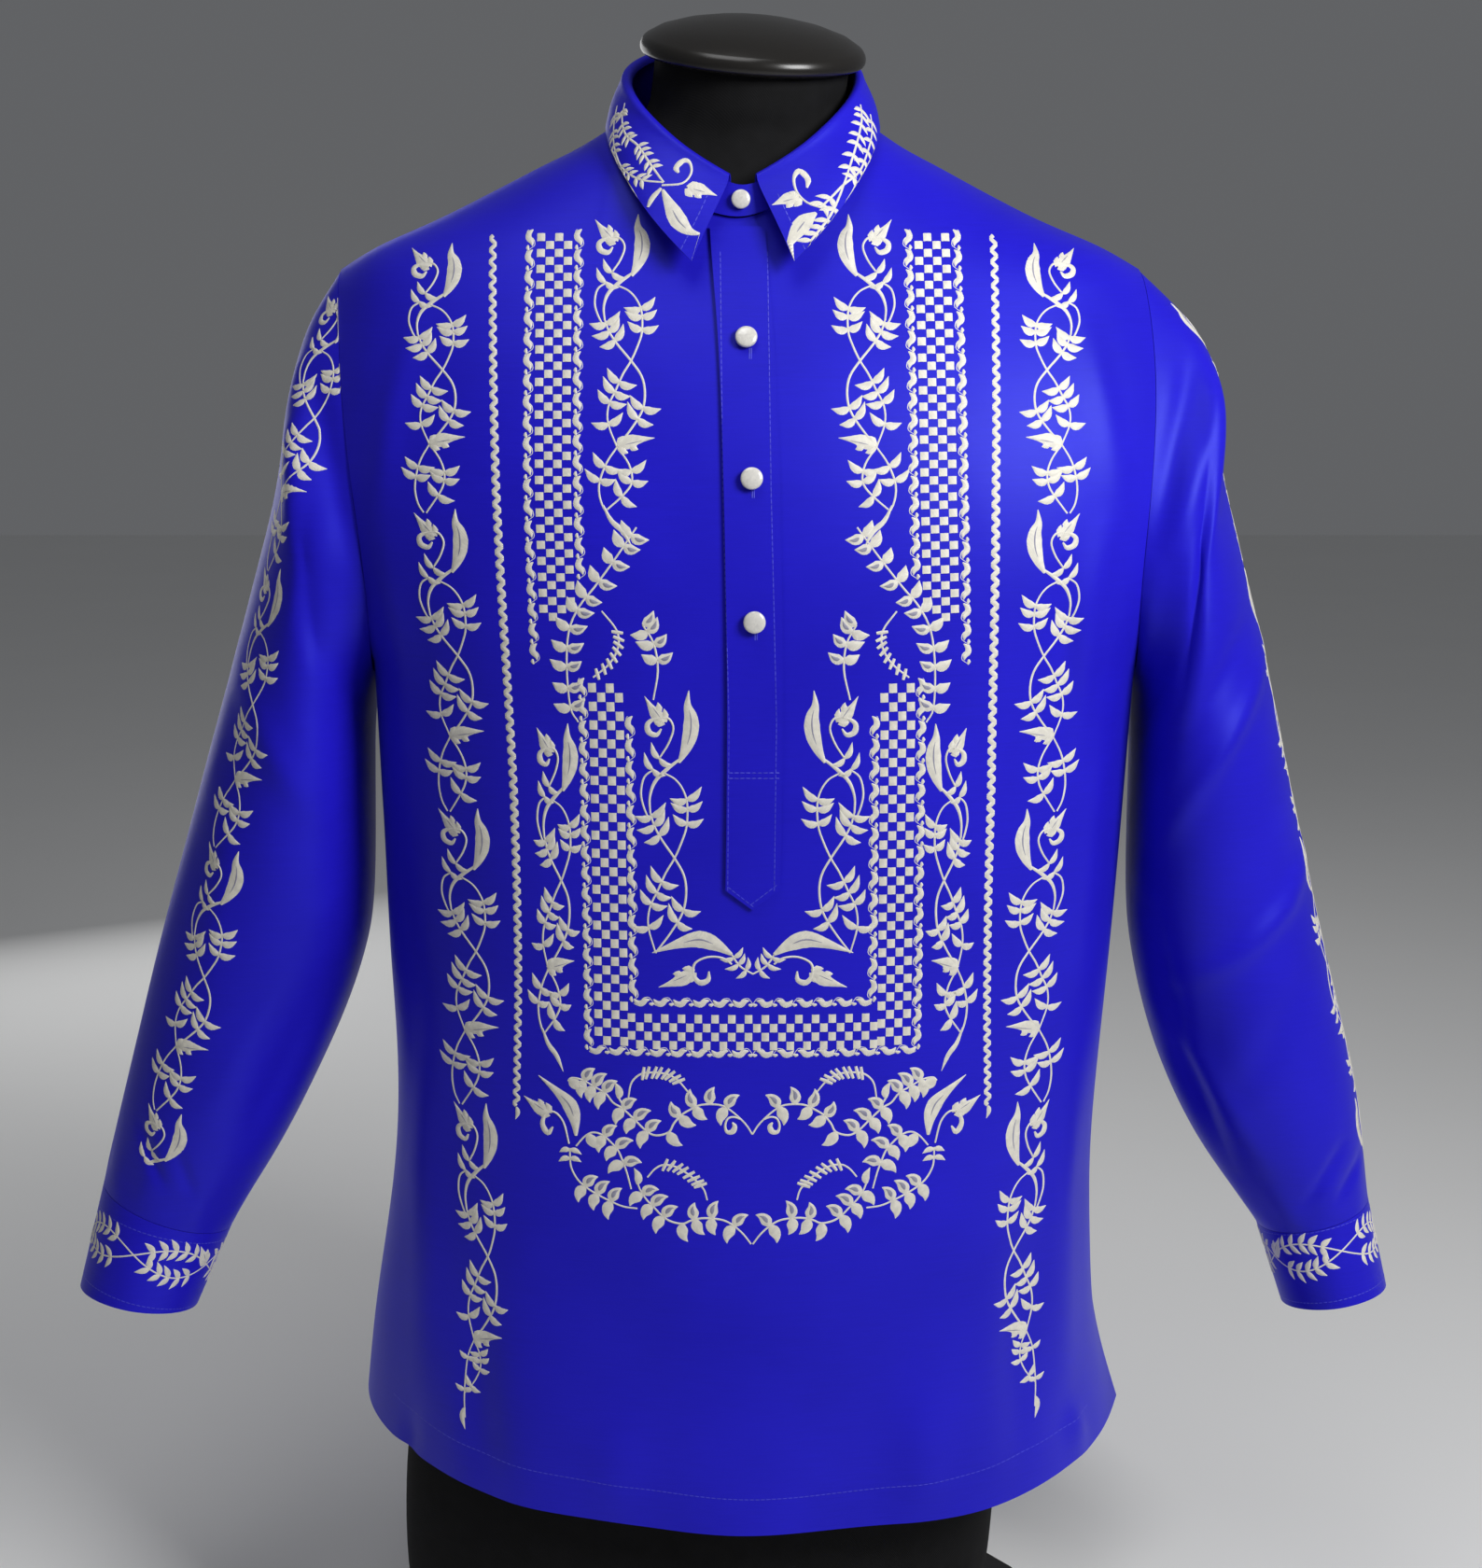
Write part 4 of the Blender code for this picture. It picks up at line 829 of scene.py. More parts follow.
def squares(corner, columns, rows, size, pitch, skip=()):
    """A check: columns of small squares of flat satin, each column half a step below the last."""
    parts = []
    for i in range(columns):
        for j in range(rows):
            if (i, j) in skip:
                continue
            x = corner[0] + (i + 0.5) * pitch[0]
            y = corner[1] - (j + 0.5 + 0.5 * (i % 2)) * pitch[1]
            path = [(x, y + size[1] / 2), (x, y + size[1] / 6), (x, y - size[1] / 6), (x, y - size[1] / 2)]
            parts.append(("thread", stroke(path, (1.0, 1.0), size[0], 0.34 * MM, steps=1)))
    return parts


def zigzag(path, pitch=6.3, sway=1.3, width=3.1):
    """A chain: one band that sways from side to side down a line."""
    line = rounded(path, 12)
    points, gone, step = [], 0.0, 0
    for before, after in zip(line, line[1:]):
        length = math.dist(before, after)
        while step * pitch / 6 <= gone + length:
            share = (step * pitch / 6 - gone) / length
            middle = add(before, add(after, before, -1), share)
            points.append(add(middle, (sway * math.sin(math.pi * step / 3), 0)))
            step += 1
        gone += length
    return [("thread", stroke(points, (0.8, 1.0, 1.0, 0.8), width, steps=1))]


# %% [markdown]
# A vine is two stems that sway across each other, with sprigs of leaflets on them. It repeats every 141 mm,
# and each repeat begins with a jagged bud, a scroll and one tall ribbed leaf. It is drawn once, down from
# its top, and then moved, mirrored and bent along the centre line of each place where it grows.

# %% The vine
VINE_REPEAT = 0.141


def vine_top():
    """The bud, the scroll and the tall leaf at the top of a repeat."""
    parts = jagged_leaf((-1.5, -17.5), (-12.5, -7), 9.0)
    parts += scroll([(-3, -20), (-5.5, -22.5), (-9.5, -21.5), (-10.5, -18.5), (-8, -16.5), (-3.5, -15.5),
                     (1, -16), (3.4, -20), (1, -26), (-3.3, -31.5)])
    parts += pairs([(-2.5, -30.5), (-5.5, -34.5), (-8.5, -38.5)], (0.22, 0.80), 8.5, 3.7)
    tall = [(6.9, -33.6), (10.2, -28.3), (12.6, -21.7), (12.6, -15.5), (10.6, -10.5), (11, -4.6)]
    parts += ribbed_leaf(tall, 9.2)
    foot = [(8.6, -31.5), (0, -36.8), (-5.8, -41.8), (-8.2, -48), (-7.7, -54.4)]
    return parts + [("thread", stroke(foot, (0.6, 1.0, 0.9, 0.6, 0.5), 2.3))]


def vine_middle():
    """The stems of a repeat and the sprigs on them."""
    left_bow = [(-6.1, -36.4), (-11.4, -39.7), (-13, -46.2), (-11.3, -51.9), (-8.4, -56.8)]
    falling = [(-7.5, -54.4), (-5.5, -59.3), (-1.3, -65), (6.1, -72.8), (11.5, -79.7), (13.2, -87),
               (11.8, -95.2), (6.1, -103.4), (-2, -112.3)]
    right_bow = [(-0.4, -38.1), (5.3, -40.5), (9.5, -44.6), (12, -50.3), (12.1, -59.3), (9.8, -65.8),
                 (6.1, -72.8), (1.7, -78.9), (-2.2, -86.2), (-6.2, -93.6), (-6.5, -101.7), (-2, -112.3)]
    parts = stem(left_bow) + stem(falling, 1.4) + stem(right_bow)
    parts += pairs(falling, (0.04, 0.13, 0.22)) + pairs(falling, (0.74, 0.82))
    parts += pairs(right_bow, (0.26, 0.305, 0.355)) + pairs(right_bow, (0.69, 0.745, 0.80, 0.915))
    return parts


def vine_leaf():
    """The jagged leaf at the lower crossing of a repeat."""
    return jagged_leaf((-1.5, -112), (18, -108), 9.5)


def vine_foot():
    """The last crossing, which leads into the next repeat."""
    to_left = [(-2, -112.3), (-7.2, -120.5), (-10, -128.6), (-11.1, -136.8), (-9.8, -144.2), (-6.9, -149)]
    to_right = [(-2, -112.3), (3.4, -119.7), (5.9, -127), (5.1, -133.5), (1.9, -139.3), (-5.4, -149)]
    parts = stem(to_left) + stem(to_right)
    parts += pairs(to_left, (0.32, 0.43)) + pairs(to_right, (0.42, 0.53)) + pairs(to_right, (0.82,))
    return parts


# %% Placing drawings along a line
def x_on(line, z):
    """The x of a centre line at a height. A line is a few rows of (x, z), the highest first."""
    for high, low in zip(line, line[1:]):
        if z > low[1] or low is line[-1]:
            return low[0] + (high[0] - low[0]) * (z - low[1]) / (high[1] - low[1])


def placed(parts, line, top=0.0, mirror=1, stretch=1.0):
    """Flat parts in millimetres, moved to a centre line in metres and down from a height there."""
    moved = []
    for kind, item in parts:
        path = []
        for x, y in item.path:
            z = top + y * MM * stretch
            path.append((x_on(line, z) + mirror * x * MM, z))
        moved.append((kind, item._replace(path=path, widths=[width * MM for width in item.widths])))
    return moved


def vine(line, tops, mirror=1, ending=()):
    """A vine down a centre line. Each repeat reaches from one height to the next and is stretched to fit."""
    parts = []
    for top, below in zip(tops, tops[1:]):
        foot = vine_leaf() + vine_foot() if below != tops[-1] else list(ending)
        parts += placed(vine_top() + vine_middle() + foot, line, top, mirror, (top - below) / VINE_REPEAT)
    return parts


print("strokes in a repeat:", len(vine_top() + vine_middle() + vine_leaf() + vine_foot()))


# %% [markdown]
# ## Embroidery on the front
#
# The pattern is the classic one of a dressy barong: vines down both sides, a chain inside each, check
# panels beside the placket, a check panel round the placket's point, and two garlands below it. Both halves
# are the same drawing, mirrored about a centre line that leans a little with the hanging shirt.

# %% Front layout
CENTRE = ((0.0000, 0.920), (0.0015, 0.760), (0.0050, 0.640), (0.0055, 0.500), (0.0050, 0.330),
          (0.0050, 0.200))
UPRIGHT = ((0.0, 1.0), (0.0, 0.0))
on_front = straight_back(Skin(front, band))


def half_line(side, rows):
    """A centre line at distances from the shirt's centre, on one side: -1 is the wearer's right."""
    return [(x_on(CENTRE, z) + side * away, z) for away, z in rows]


OUTER_VINE = ((0.1705, 0.900), (0.1665, 0.760), (0.1640, 0.660), (0.1610, 0.578), (0.1600, 0.514),
              (0.1590, 0.412), (0.1550, 0.330), (0.1600, 0.215))
OUTER_VINE_TOPS = (0.8935, 0.7550, 0.5920, 0.4220)
LAST_REPEAT, LAST_WIDTH = 0.185, 0.84  # the last repeat is longer and narrower
TAIL_START = 0.112 * LAST_REPEAT / VINE_REPEAT  # the tail grows from its lower crossing
CHAIN = ((0.1360, 0.893), (0.1320, 0.740), (0.1295, 0.600), (0.1295, 0.500), (0.1320, 0.417))
CHAIN_CENTRE = [(x_on(CENTRE, z), z) for z in (0.92, 0.76, 0.60, 0.50, 0.33)]
TAIL = ((-2, 0), (-6, -10), (-7.5, -22), (-8, -36), (-7, -48))
TAIL_BRANCH = ((-2, 0), (2, -8), (3, -16), (-1, -25), (-7.5, -33))


def side_border(side):
    """The outer vine with its tapering tail, and the chain, which ends in a leaf."""
    line = half_line(side, OUTER_VINE)
    parts = vine(line, OUTER_VINE_TOPS, -side, vine_leaf() + vine_foot())
    last_top = OUTER_VINE_TOPS[-1]
    parts += vine(line, (last_top, last_top - LAST_REPEAT), -LAST_WIDTH * side, vine_leaf())
    tail = stem(TAIL, 1.0) + stem(TAIL_BRANCH, 1.0) + [("thread", leaflet((-7.5, -42), -92, 14, 3.6))]
    tail += pairs(TAIL, (0.30, 0.66), 7.2, 3.6) + pairs(TAIL_BRANCH, (0.26, 0.40, 0.54, 0.86), 7.6, 3.8)
    parts += placed(tail, line, last_top - TAIL_START, -LAST_WIDTH * side)
    chain = [(-side * away / MM, z / MM) for away, z in CHAIN]
    chain_parts = zigzag(chain) + [("thread", leaflet(chain[-1], -90, 8, 3))]
    return parts + placed(chain_parts, CHAIN_CENTRE, 0.0, -1)


front_strokes = side_border(-1) + side_border(1)
print("side borders:", len(front_strokes), "strokes")

# %% [markdown]
# Rope borders of slanting beads hold its edges, and three such strips make the panel round the placket's
# point.

# %% Check panels beside the placket
UPPER_EDGE, UPPER_TOP, UPPER_PITCH = -111.6, 896, (4.95, 8.4)
UPPER_BORDERS = ((-115.0, 669), (-88.3, 715))  # across, and the height of the lower end
ARM_EDGE, ARM_TOP, ARM_PITCH = -87.2, 662, (4.75, 10.1)
BAR_HALF, BAR_TOP, BAR_PITCH = 68.8, 478.9, (4.587, 10.15)
LONG_BEAD = 11.8


def upper_panel():
    """Four columns of squares, a long outer border and a short inner one, in millimetres."""
    parts = squares((UPPER_EDGE, UPPER_TOP), 4, 24, (5.0, 4.2), UPPER_PITCH, skip=[(3, 23)])
    for across, end in UPPER_BORDERS:
        parts += beads(((across, UPPER_TOP), (across, end)))
    return parts


def lower_panel():
    """An arm of the panel round the placket's point, and its half of the bar's borders, in millimetres."""
    outside, inside, below, above = -90.2, -65.2, 454.6, 483.2
    parts = squares((ARM_EDGE, ARM_TOP), 4, 20, (4.8, 5.0), ARM_PITCH)
    for border in (((outside, ARM_TOP), (outside, below)), ((inside, 642), (inside, above)),
                   ((outside, below), (0, below)), ((inside, above), (0, above))):
        parts += beads(border, LONG_BEAD)
    return parts


front_strokes += placed(squares((-BAR_HALF, BAR_TOP), 30, 2, (4.6, 4.8), BAR_PITCH), CENTRE)
for side in (-1, 1):
    front_strokes += placed(upper_panel() + lower_panel(), CENTRE, 0.0, -side)

# %% [markdown]
# Between the panels and the placket grow shorter lengths of the same vine. Sprigs of plump leaflets with
# grey hearts lead from the upper ones round the panels' ends, and two broad leaves meet below the placket's
# point.

# %% Inner vines and sprigs
def inner_sprigs():
    """The sprigs that lead from the upper vine round the panel's end, in millimetres."""
    plump = (9.8, 6.4, 74)
    slanting = [(-58, 742), (-63, 735), (-71, 724), (-81, 711), (-90, 700), (-96, 687), (-98, 668),
                (-97, 646), (-93, 638)]
    parts = stem(slanting)
    parts += pairs(slanting, (0.08, 0.17, 0.26, 0.35, 0.44, 0.53, 0.62), *plump, shaded=-1)
    parts += pairs(slanting, (0.70, 0.76, 0.82, 0.88), *plump, shaded=-1)
    parts += comb([(-78, 698), (-70.5, 688), (-70, 679), (-75, 670), (-84, 662.5)], (0.3, 0.95), 8, 6.2)
    hanging = [(-56.5, 691), (-51, 681), (-49.3, 667), (-52.3, 651)]
    parts += stem(hanging) + pairs(hanging, (0.16, 0.36, 0.57), *plump, shaded=-1)
    parts += pairs(hanging, (0.02,), *plump, sides=(-1,), shaded=-1)
    return parts


def point_leaves():
    """The broad leaves, scrolls and sprigs that meet below the placket's point, in millimetres."""
    parts = ribbed_leaf([(-11.5, 510.5), (-20, 516), (-29, 519), (-40, 516.5), (-54.7, 511)], 10.5)
    parts += scroll([(-24, 501), (-24.5, 496), (-29, 494.5), (-32.5, 499), (-31.5, 505.5), (-24.5, 509),
                     (-16.5, 508.5), (-11.5, 505)])
    parts += jagged_leaf((-32, 500.5), (-51.5, 491.5), 10.5)
    joining = [(-11.5, 510.5), (-9.5, 507), (-6, 503), (0, 499.5)]
    return parts + stem(joining) + pairs(joining, (0.2, 0.5, 0.8), 8.0, 3.2, 75)


def inner_foot():
    """The end of an inner vine: its last sprigs, and a long leaf that points to the next drawing."""
    outer = [(-2, -112.3), (-8, -120), (-12, -130), (-10.5, -139), (-5, -146)]
    inner = [(-2, -112.3), (4, -120), (5.5, -128), (1, -134), (-8, -141)]
    blade = [(-10, -139), (-6, -146), (0, -151), (4.5, -158)]
    parts = stem(outer) + pairs(outer, (0.30, 0.44)) + stem(inner) + pairs(inner, (0.36, 0.52, 0.80))
    return parts + [("thread", stroke(blade, (0.3, 0.7, 1.0, 0.8, 0.1), 3.2))]


INNER_VINE = ((0.0675, 0.92), (0.0655, 0.70))
BESIDE_CHAIN = ((0.1060, 0.66), (0.1075, 0.57), (0.1110, 0.50), (0.1080, 0.44))
BESIDE_CHAIN_WIDTH = 0.72
IN_PANEL = ((0.0440, 0.660), (0.0482, 0.565), (0.0510, 0.511))
ending = vine_leaf() + inner_foot()
for side in (-1, 1):
    front_strokes += vine(half_line(side, INNER_VINE), (0.9089, 0.7510), -side, ending)
    front_strokes += vine(half_line(side, BESIDE_CHAIN), (0.6430, 0.4622), -BESIDE_CHAIN_WIDTH * side, ending)
    front_strokes += vine(half_line(side, IN_PANEL), (0.6624, 0.4723), -side)
    front_strokes += placed(inner_sprigs() + point_leaves(), CENTRE, 0.0, -side)
print("with the panels and inner vines:", len(front_strokes), "strokes")

# %% [markdown]
# Two garlands hang below the panel, one over the other. Each half is drawn once, as stems with rows of
# plump leaflets, and combs of short bars that arch above them.

# %% Garlands
GARLAND_TOP = 0.408


def garlands():
    """The left half of both garlands, in millimetres from the upper one's point."""
    plump = {"length": 10.8, "width": 7.2, "spread": 84, "curl": CURL_IN, "shaded": 1}
    upper = [(0, 0), (-4.2, 6.4), (-11.9, 13.6), (-18.2, 16.8), (-28, 16.8), (-34.3, 13.9), (-39.2, 10.7),
             (-43.4, 5.7), (-46.2, 0.7), (-53.2, -1.4), (-58.8, 1.1), (-65.8, 7.9), (-72.1, 13.6),
             (-77, 16.4), (-81.2, 21.5), (-87.5, 25), (-94.5, 28.6), (-100.1, 29.2), (-102.2, 27.2)]
    parts = stem(upper, 1.3)
    parts += pairs(upper, (0.133, 0.255, 0.345, 0.555, 0.61, 0.66, 0.79, 0.835, 0.88), **plump)
    parts += pairs(upper, (0.20,), **plump, sides=(1,)) + pairs(upper, (0.445, 0.97), **plump, sides=(-1,))
    parts += stem([(-72, 16), (-74, 19.5)]) + [("thread", leaflet((-74, 19), 98, 10, 5.0))]
    parts += scroll([(-11.2, 6.8), (-9.7, 4.5), (-11, 1.5), (-14, 1.5), (-15, 5), (-13.5, 9), (-10, 9.9),
                     (-6, 8.5)])
    parts += comb([(-68.6, 19), (-67.2, 27.2), (-64.4, 31.5), (-60.2, 34), (-53.2, 34.7), (-46.2, 33.6),
                   (-40.6, 30), (-35.5, 24)], (0.43, 0.87), 8)
    lower = [(-0.5, -63), (-4.9, -57.2), (-10.5, -52.2), (-16.1, -49.3), (-23.8, -48.3), (-29.4, -48.6),
             (-34.3, -50), (-38.5, -51.8), (-44.8, -50.8), (-49.7, -47.9), (-53.9, -43.6), (-58.1, -39.3),
             (-61.6, -34.3), (-63.7, -29.3)]
    parts += stem(lower, 1.3) + pairs(lower, (0.15, 0.29, 0.42, 0.69, 0.80, 0.91), **plump)
    parts += pairs(lower, (0.54,), **plump, sides=(-1,)) + [("thread", leaflet((-63.7, -30), 96, 10, 5.0))]
    outer = [(-63.7, -44), (-71.4, -43.3), (-78.4, -40.8), (-86.1, -37.2), (-92.4, -33.6), (-97.3, -29.3),
             (-100.8, -22.9), (-101.5, -17), (-101.5, -11.4)]
    parts += stem(outer) + pairs(outer, (0.25, 0.39, 0.53), **plump)
    parts += pairs(outer, (0.86, 0.97), 7.0, 3.6, 80)
    rising = [(-67.2, -32.9), (-68.6, -27.2), (-70, -22.2), (-72.1, -16.4), (-74.2, -11.4), (-77, -7.9),
              (-82.6, -2.9), (-88.2, -1.4), (-93, -4), (-98, -10)]
    parts += stem(rising) + pairs(rising, (0.30, 0.50, 0.66), **plump)
    parts += pairs(rising, (0.86,), **plump, sides=(-1,))
    parts += comb([(-58.1, -25.7), (-53.9, -20.7), (-49, -18.2), (-42, -19.3), (-35, -23.6), (-30.1, -27.9),
                   (-26.6, -32.2), (-24.9, -37.9)], (0.32, 0.78), 8)
    parts += ribbed_leaf([(-98, -4), (-98.7, 5.7), (-101.5, 13.6), (-107.8, 20), (-118.9, 28.9)], 9.5)
    parts += scroll([(-111, 0), (-114, -4), (-117, 1), (-115, 7), (-110, 8.5), (-105, 3), (-102, -9)])
    return parts + jagged_leaf((-113, 7.5), (-127.5, 16), 10.0)


for side in (-1, 1):
    front_strokes += placed(garlands(), CENTRE, GARLAND_TOP, -side)

THREADS = {"thread": SILVER_THREAD, "shade": SHADE_THREAD}
for kind, material in THREADS.items():
    chosen = [(on_front, item) for which, item in front_strokes if which == kind]
    sew(f"embroidery_front_{kind}", chosen, material)

# %% [markdown]
# ## Embroidery on the sleeves, cuffs and collar
#
# The same vine runs down the outside of each sleeve. The cuffs and the collar leaves carry a smaller one:
# two stems that cross, with rows of short leaflets.

# %% Sleeve vines
SLEEVE_LINES = {
    "right": ((-0.222, -0.020, 0.885), (-0.229, -0.030, 0.865), (-0.243, -0.055, 0.789),
              (-0.257, -0.060, 0.717), (-0.283, -0.066, 0.585), (-0.318, -0.065, 0.459),
              (-0.354, -0.061, 0.330)),
    "left": ((0.246, 0.001, 0.884), (0.257, -0.004, 0.862), (0.281, -0.014, 0.790), (0.294, -0.019, 0.712),
             (0.319, -0.023, 0.600), (0.346, -0.026, 0.486), (0.379, -0.026, 0.340)),
}
SLEEVE_TOPS = (-0.0145, -0.1765, -0.3375, -0.5015)
LAST_MOTIF_STRETCH = 1.1
DOWNWARDS = ((0.0, 1.0), (0.0, -1.0))
sleeve_strokes = []
for side, mirror in (("right", 1), ("left", -1)):
    lay = along_line(Skin(sleeves[side]), SLEEVE_LINES[side])
    parts = vine(DOWNWARDS, SLEEVE_TOPS, mirror, vine_leaf() + vine_foot())
    foot = [(8.6, -31.5), (0, -36.8), (-5, -39.5)]
    last = vine_top()[:-1] + [("thread", stroke(foot, (0.6, 1.0, 0.4), 2.3))]
    parts += placed(last, DOWNWARDS, SLEEVE_TOPS[-1], mirror, LAST_MOTIF_STRETCH)
    sleeve_strokes += [(kind, lay, item) for kind, item in parts]

# %% [markdown]
# The cuff's vine is two waves that cross, laid round the cuff's own axis. Each collar leaf has its own
# drawing, laid round the neck, and the two differ a little, as handwork does.

# %% Cuff and collar vines
CuffRound = namedtuple("CuffRound", "centre axis")
CUFF_ROUND = {
    "left": CuffRound((0.3600, -0.027, 0.2670), (-0.0133, 0.0100, 0.0500)),
    "right": CuffRound((-0.3678, -0.027, 0.2660), (0.0181, 0.0100, 0.0547)),
}
CUFF_RADIUS = 0.043
COLLAR_RADIUS = 0.075
HALF_WAVE, WAVE_SWAY, WAVE_START = 52.0, 8.5, -5
CUFF_MIDDLE = 33.5
LEAFLET_STEPS = (0.055, 0.087, 0.119, 0.151, 0.183)  # shares of a stem, from each quarter of it


def crossing_vine():
    """Two stems that cross, with rows of short leaflets, in millimetres across and up the cuff."""
    parts = []
    shares = [quarter + step for quarter in (0, 0.25, 0.50, 0.75) for step in LEAFLET_STEPS]
    for sway in (-WAVE_SWAY, WAVE_SWAY):
        wave = [(x + WAVE_START, CUFF_MIDDLE + sway * math.sin(math.pi * x / HALF_WAVE))
                for x in range(-104, 105, 8)]
        parts += stem(wave, 1.1) + pairs(wave, shares, 8.6, 4.0, 52, curl=CURL_NONE)
    return parts + jagged_leaf((45, 35), (34, 46), 10.5) + jagged_leaf((-56, 31), (-66, 21), 9.0)


def right_leaf_vine():
    """The vine of the wearer's right collar leaf, in millimetres round the neck and up."""
    fine = (5.6, 2.5, 48, (1, -1), CURL_NONE)
    shares = (0.18, 0.24, 0.30, 0.36, 0.42, 0.56, 0.62, 0.68, 0.74, 0.86, 0.92)
    outer = [(-39, 920), (-52, 922), (-65, 929), (-77, 941), (-87, 953), (-95, 963)]
    inner = [(-39, 920), (-49, 930), (-60, 940), (-71, 946), (-82, 956), (-87, 964)]
    parts = jagged_leaf((-27.5, 917), (-13, 913), 9.0)
    parts += scroll([(-33.5, 925), (-35.5, 928), (-33, 931.5), (-29.5, 930.5), (-27.5, 925), (-30.5, 919.5),
                     (-39.5, 918.5)])
    parts += ribbed_leaf([(-38.5, 916), (-33, 907), (-28.5, 899.5), (-23.8, 894.5), (-17.5, 892.5)], 8.0)
    parts += [("thread", stroke([(-39.5, 917), (-42, 912), (-43, 907)], (0.5, 1.0, 0.9, 0.4), 3.0))]
    return parts + stem(outer) + stem(inner) + pairs(outer, shares, *fine) + pairs(inner, shares, *fine)


def left_leaf_vine():
    """The vine of the left collar leaf, drawn like the right one and mirrored when it is laid."""
    fine = (6.6, 2.9, 50, (1, -1), CURL_NONE)
    lower = [(-35, 906.5), (-41, 912), (-49, 919), (-60, 926), (-70, 936), (-82, 948), (-90, 958)]
    upper = [(-49, 919), (-58, 932), (-69, 945), (-80, 956), (-86, 963)]
    hanging = [(-28.5, 889), (-33, 895), (-39, 903), (-49, 919)]
    parts = jagged_leaf((-27, 912), (-14, 908), 9.0)
    parts += scroll([(-31.5, 917), (-33, 922), (-30, 926), (-26.5, 922), (-26.5, 915), (-30, 909.5),
                     (-36, 906.5)])
    parts += ribbed_leaf([(-33, 904), (-28, 900), (-23, 893), (-17.5, 883)], 8.2)
    parts += stem(lower) + stem(upper) + stem(hanging)
    parts += pairs(hanging, (0.08, 0.25, 0.42, 0.60, 0.78), *fine)
    parts += pairs(lower, (0.08, 0.18, 0.44, 0.54, 0.62, 0.70, 0.78, 0.86, 0.94), *fine)
    return parts + pairs(upper, (0.20, 0.32, 0.44, 0.56, 0.68, 0.80, 0.92), *fine)


# %% Laying the trim
around_cuff = {side: round_axis(Skin(cuffs[side]), *CUFF_ROUND[side], (0, -1, 0), CUFF_RADIUS)
               for side in cuffs}
around_collar = round_axis(Skin(leaf), (0.0, 0.0, 0.0), (0, 0, 1), (0, -1, 0), COLLAR_RADIUS)
for side, mirror, leaf_vine in (("left", -1, right_leaf_vine()), ("right", 1, left_leaf_vine())):
    for kind, item in placed(crossing_vine(), UPRIGHT, 0.0, mirror):
        sleeve_strokes.append((kind, around_cuff[side], item))
    for kind, item in placed(leaf_vine, UPRIGHT, 0.0, -mirror):
        sleeve_strokes.append((kind, around_collar, item))

for kind, material in THREADS.items():
    chosen = [(lay, item) for which, lay, item in sleeve_strokes if which == kind]
    sew(f"embroidery_trim_{kind}", chosen, material)

# %% [markdown]
# ## Thickness and finish
#
# Only now does the cloth get its thickness, because the embroidery was laid on its outer skin. Each piece
# is listed with its imported node, its flat size, how it is held, what it rests on and its area.

# %% Thickness and finish
Cut = namedtuple("Cut", "piece node flat held rests area")
CUTS = (
    Cut(front, "front", (0.600, 0.820), "hung", ("dress_form",), 0.418),
    Cut(back, "back", (0.600, 0.820), "hung", ("dress_form",), 0.418),
    Cut(sleeves["left"], "sleeve_left", (0.420, 0.590), "hung", ("shirt_front",), 0.178),
    Cut(sleeves["right"], "sleeve_right", (0.420, 0.590), "hung", ("shirt_front",), 0.178),
    Cut(cuffs["left"], "cuff_left", (0.262, 0.053), "stretched", ("shirt_sleeve_left",), None),
    Cut(cuffs["right"], "cuff_right", (0.285, 0.058), "stretched", ("shirt_sleeve_right",), None),
    Cut(stand, "collar_stand", (0.430, 0.028), "stretched", ("shirt_front",), None),
    Cut(leaf, "collar_leaf", (0.440, 0.055), "folded", ("shirt_collar_stand",), None),
    Cut(band, "placket", (0.030, 0.370), "laid", ("shirt_front",), None),
)


def make_cloth(cut):
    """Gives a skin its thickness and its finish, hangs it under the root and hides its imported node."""
    area = sum(face.area for face in cut.piece.data.polygons)
    modify(cut.piece, "SOLIDIFY", thickness=CLOTH_THICKNESS, offset=-1)
    pick(cut.piece)
    bpy.ops.object.shade_smooth_by_angle(angle=math.radians(50))
    cut.piece.data.materials.append(BLUE_CLOTH)
    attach(cut.piece, "root")
    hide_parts(cut.node)
    print(f"{cut.piece.name}: skin {area:.4f} m2, {len(cut.piece.data.polygons)} faces")


for cut in CUTS:
    make_cloth(cut)

# %% [markdown]
# ## Stitching
#
# A barong is topstitched in thread of the cloth's own colour: along the collar leaf, the placket band, the
# cuffs and the hem. Each stitch is a short low ridge. The rows are drawn flat, like the embroidery.

# %% Stitch rows
STITCH, STITCH_GAP, STITCH_WIDTH = 2.4, 0.7, 0.75
STITCH_HEIGHT = 0.28 * MM


def stitch_row(path):
    """Short stitches along a path, in millimetres."""
    line = rounded(path, 10)
    parts, gone, step = [], 0.0, STITCH + STITCH_GAP
    for before, after in zip(line, line[1:]):
        length = math.dist(before, after)
        ahead = add(after, before, -1)
        while len(parts) * step < gone + length:
            start = add(before, ahead, (len(parts) * step - gone) / length)
            points = [add(start, ahead, reach / length) for reach in (0, STITCH / 2, STITCH)]
            stitch = stroke(points, (0.7, 1.0, 0.7), STITCH_WIDTH, STITCH_HEIGHT, steps=1)
            parts.append(("stitch", stitch))
        gone += length
    return parts


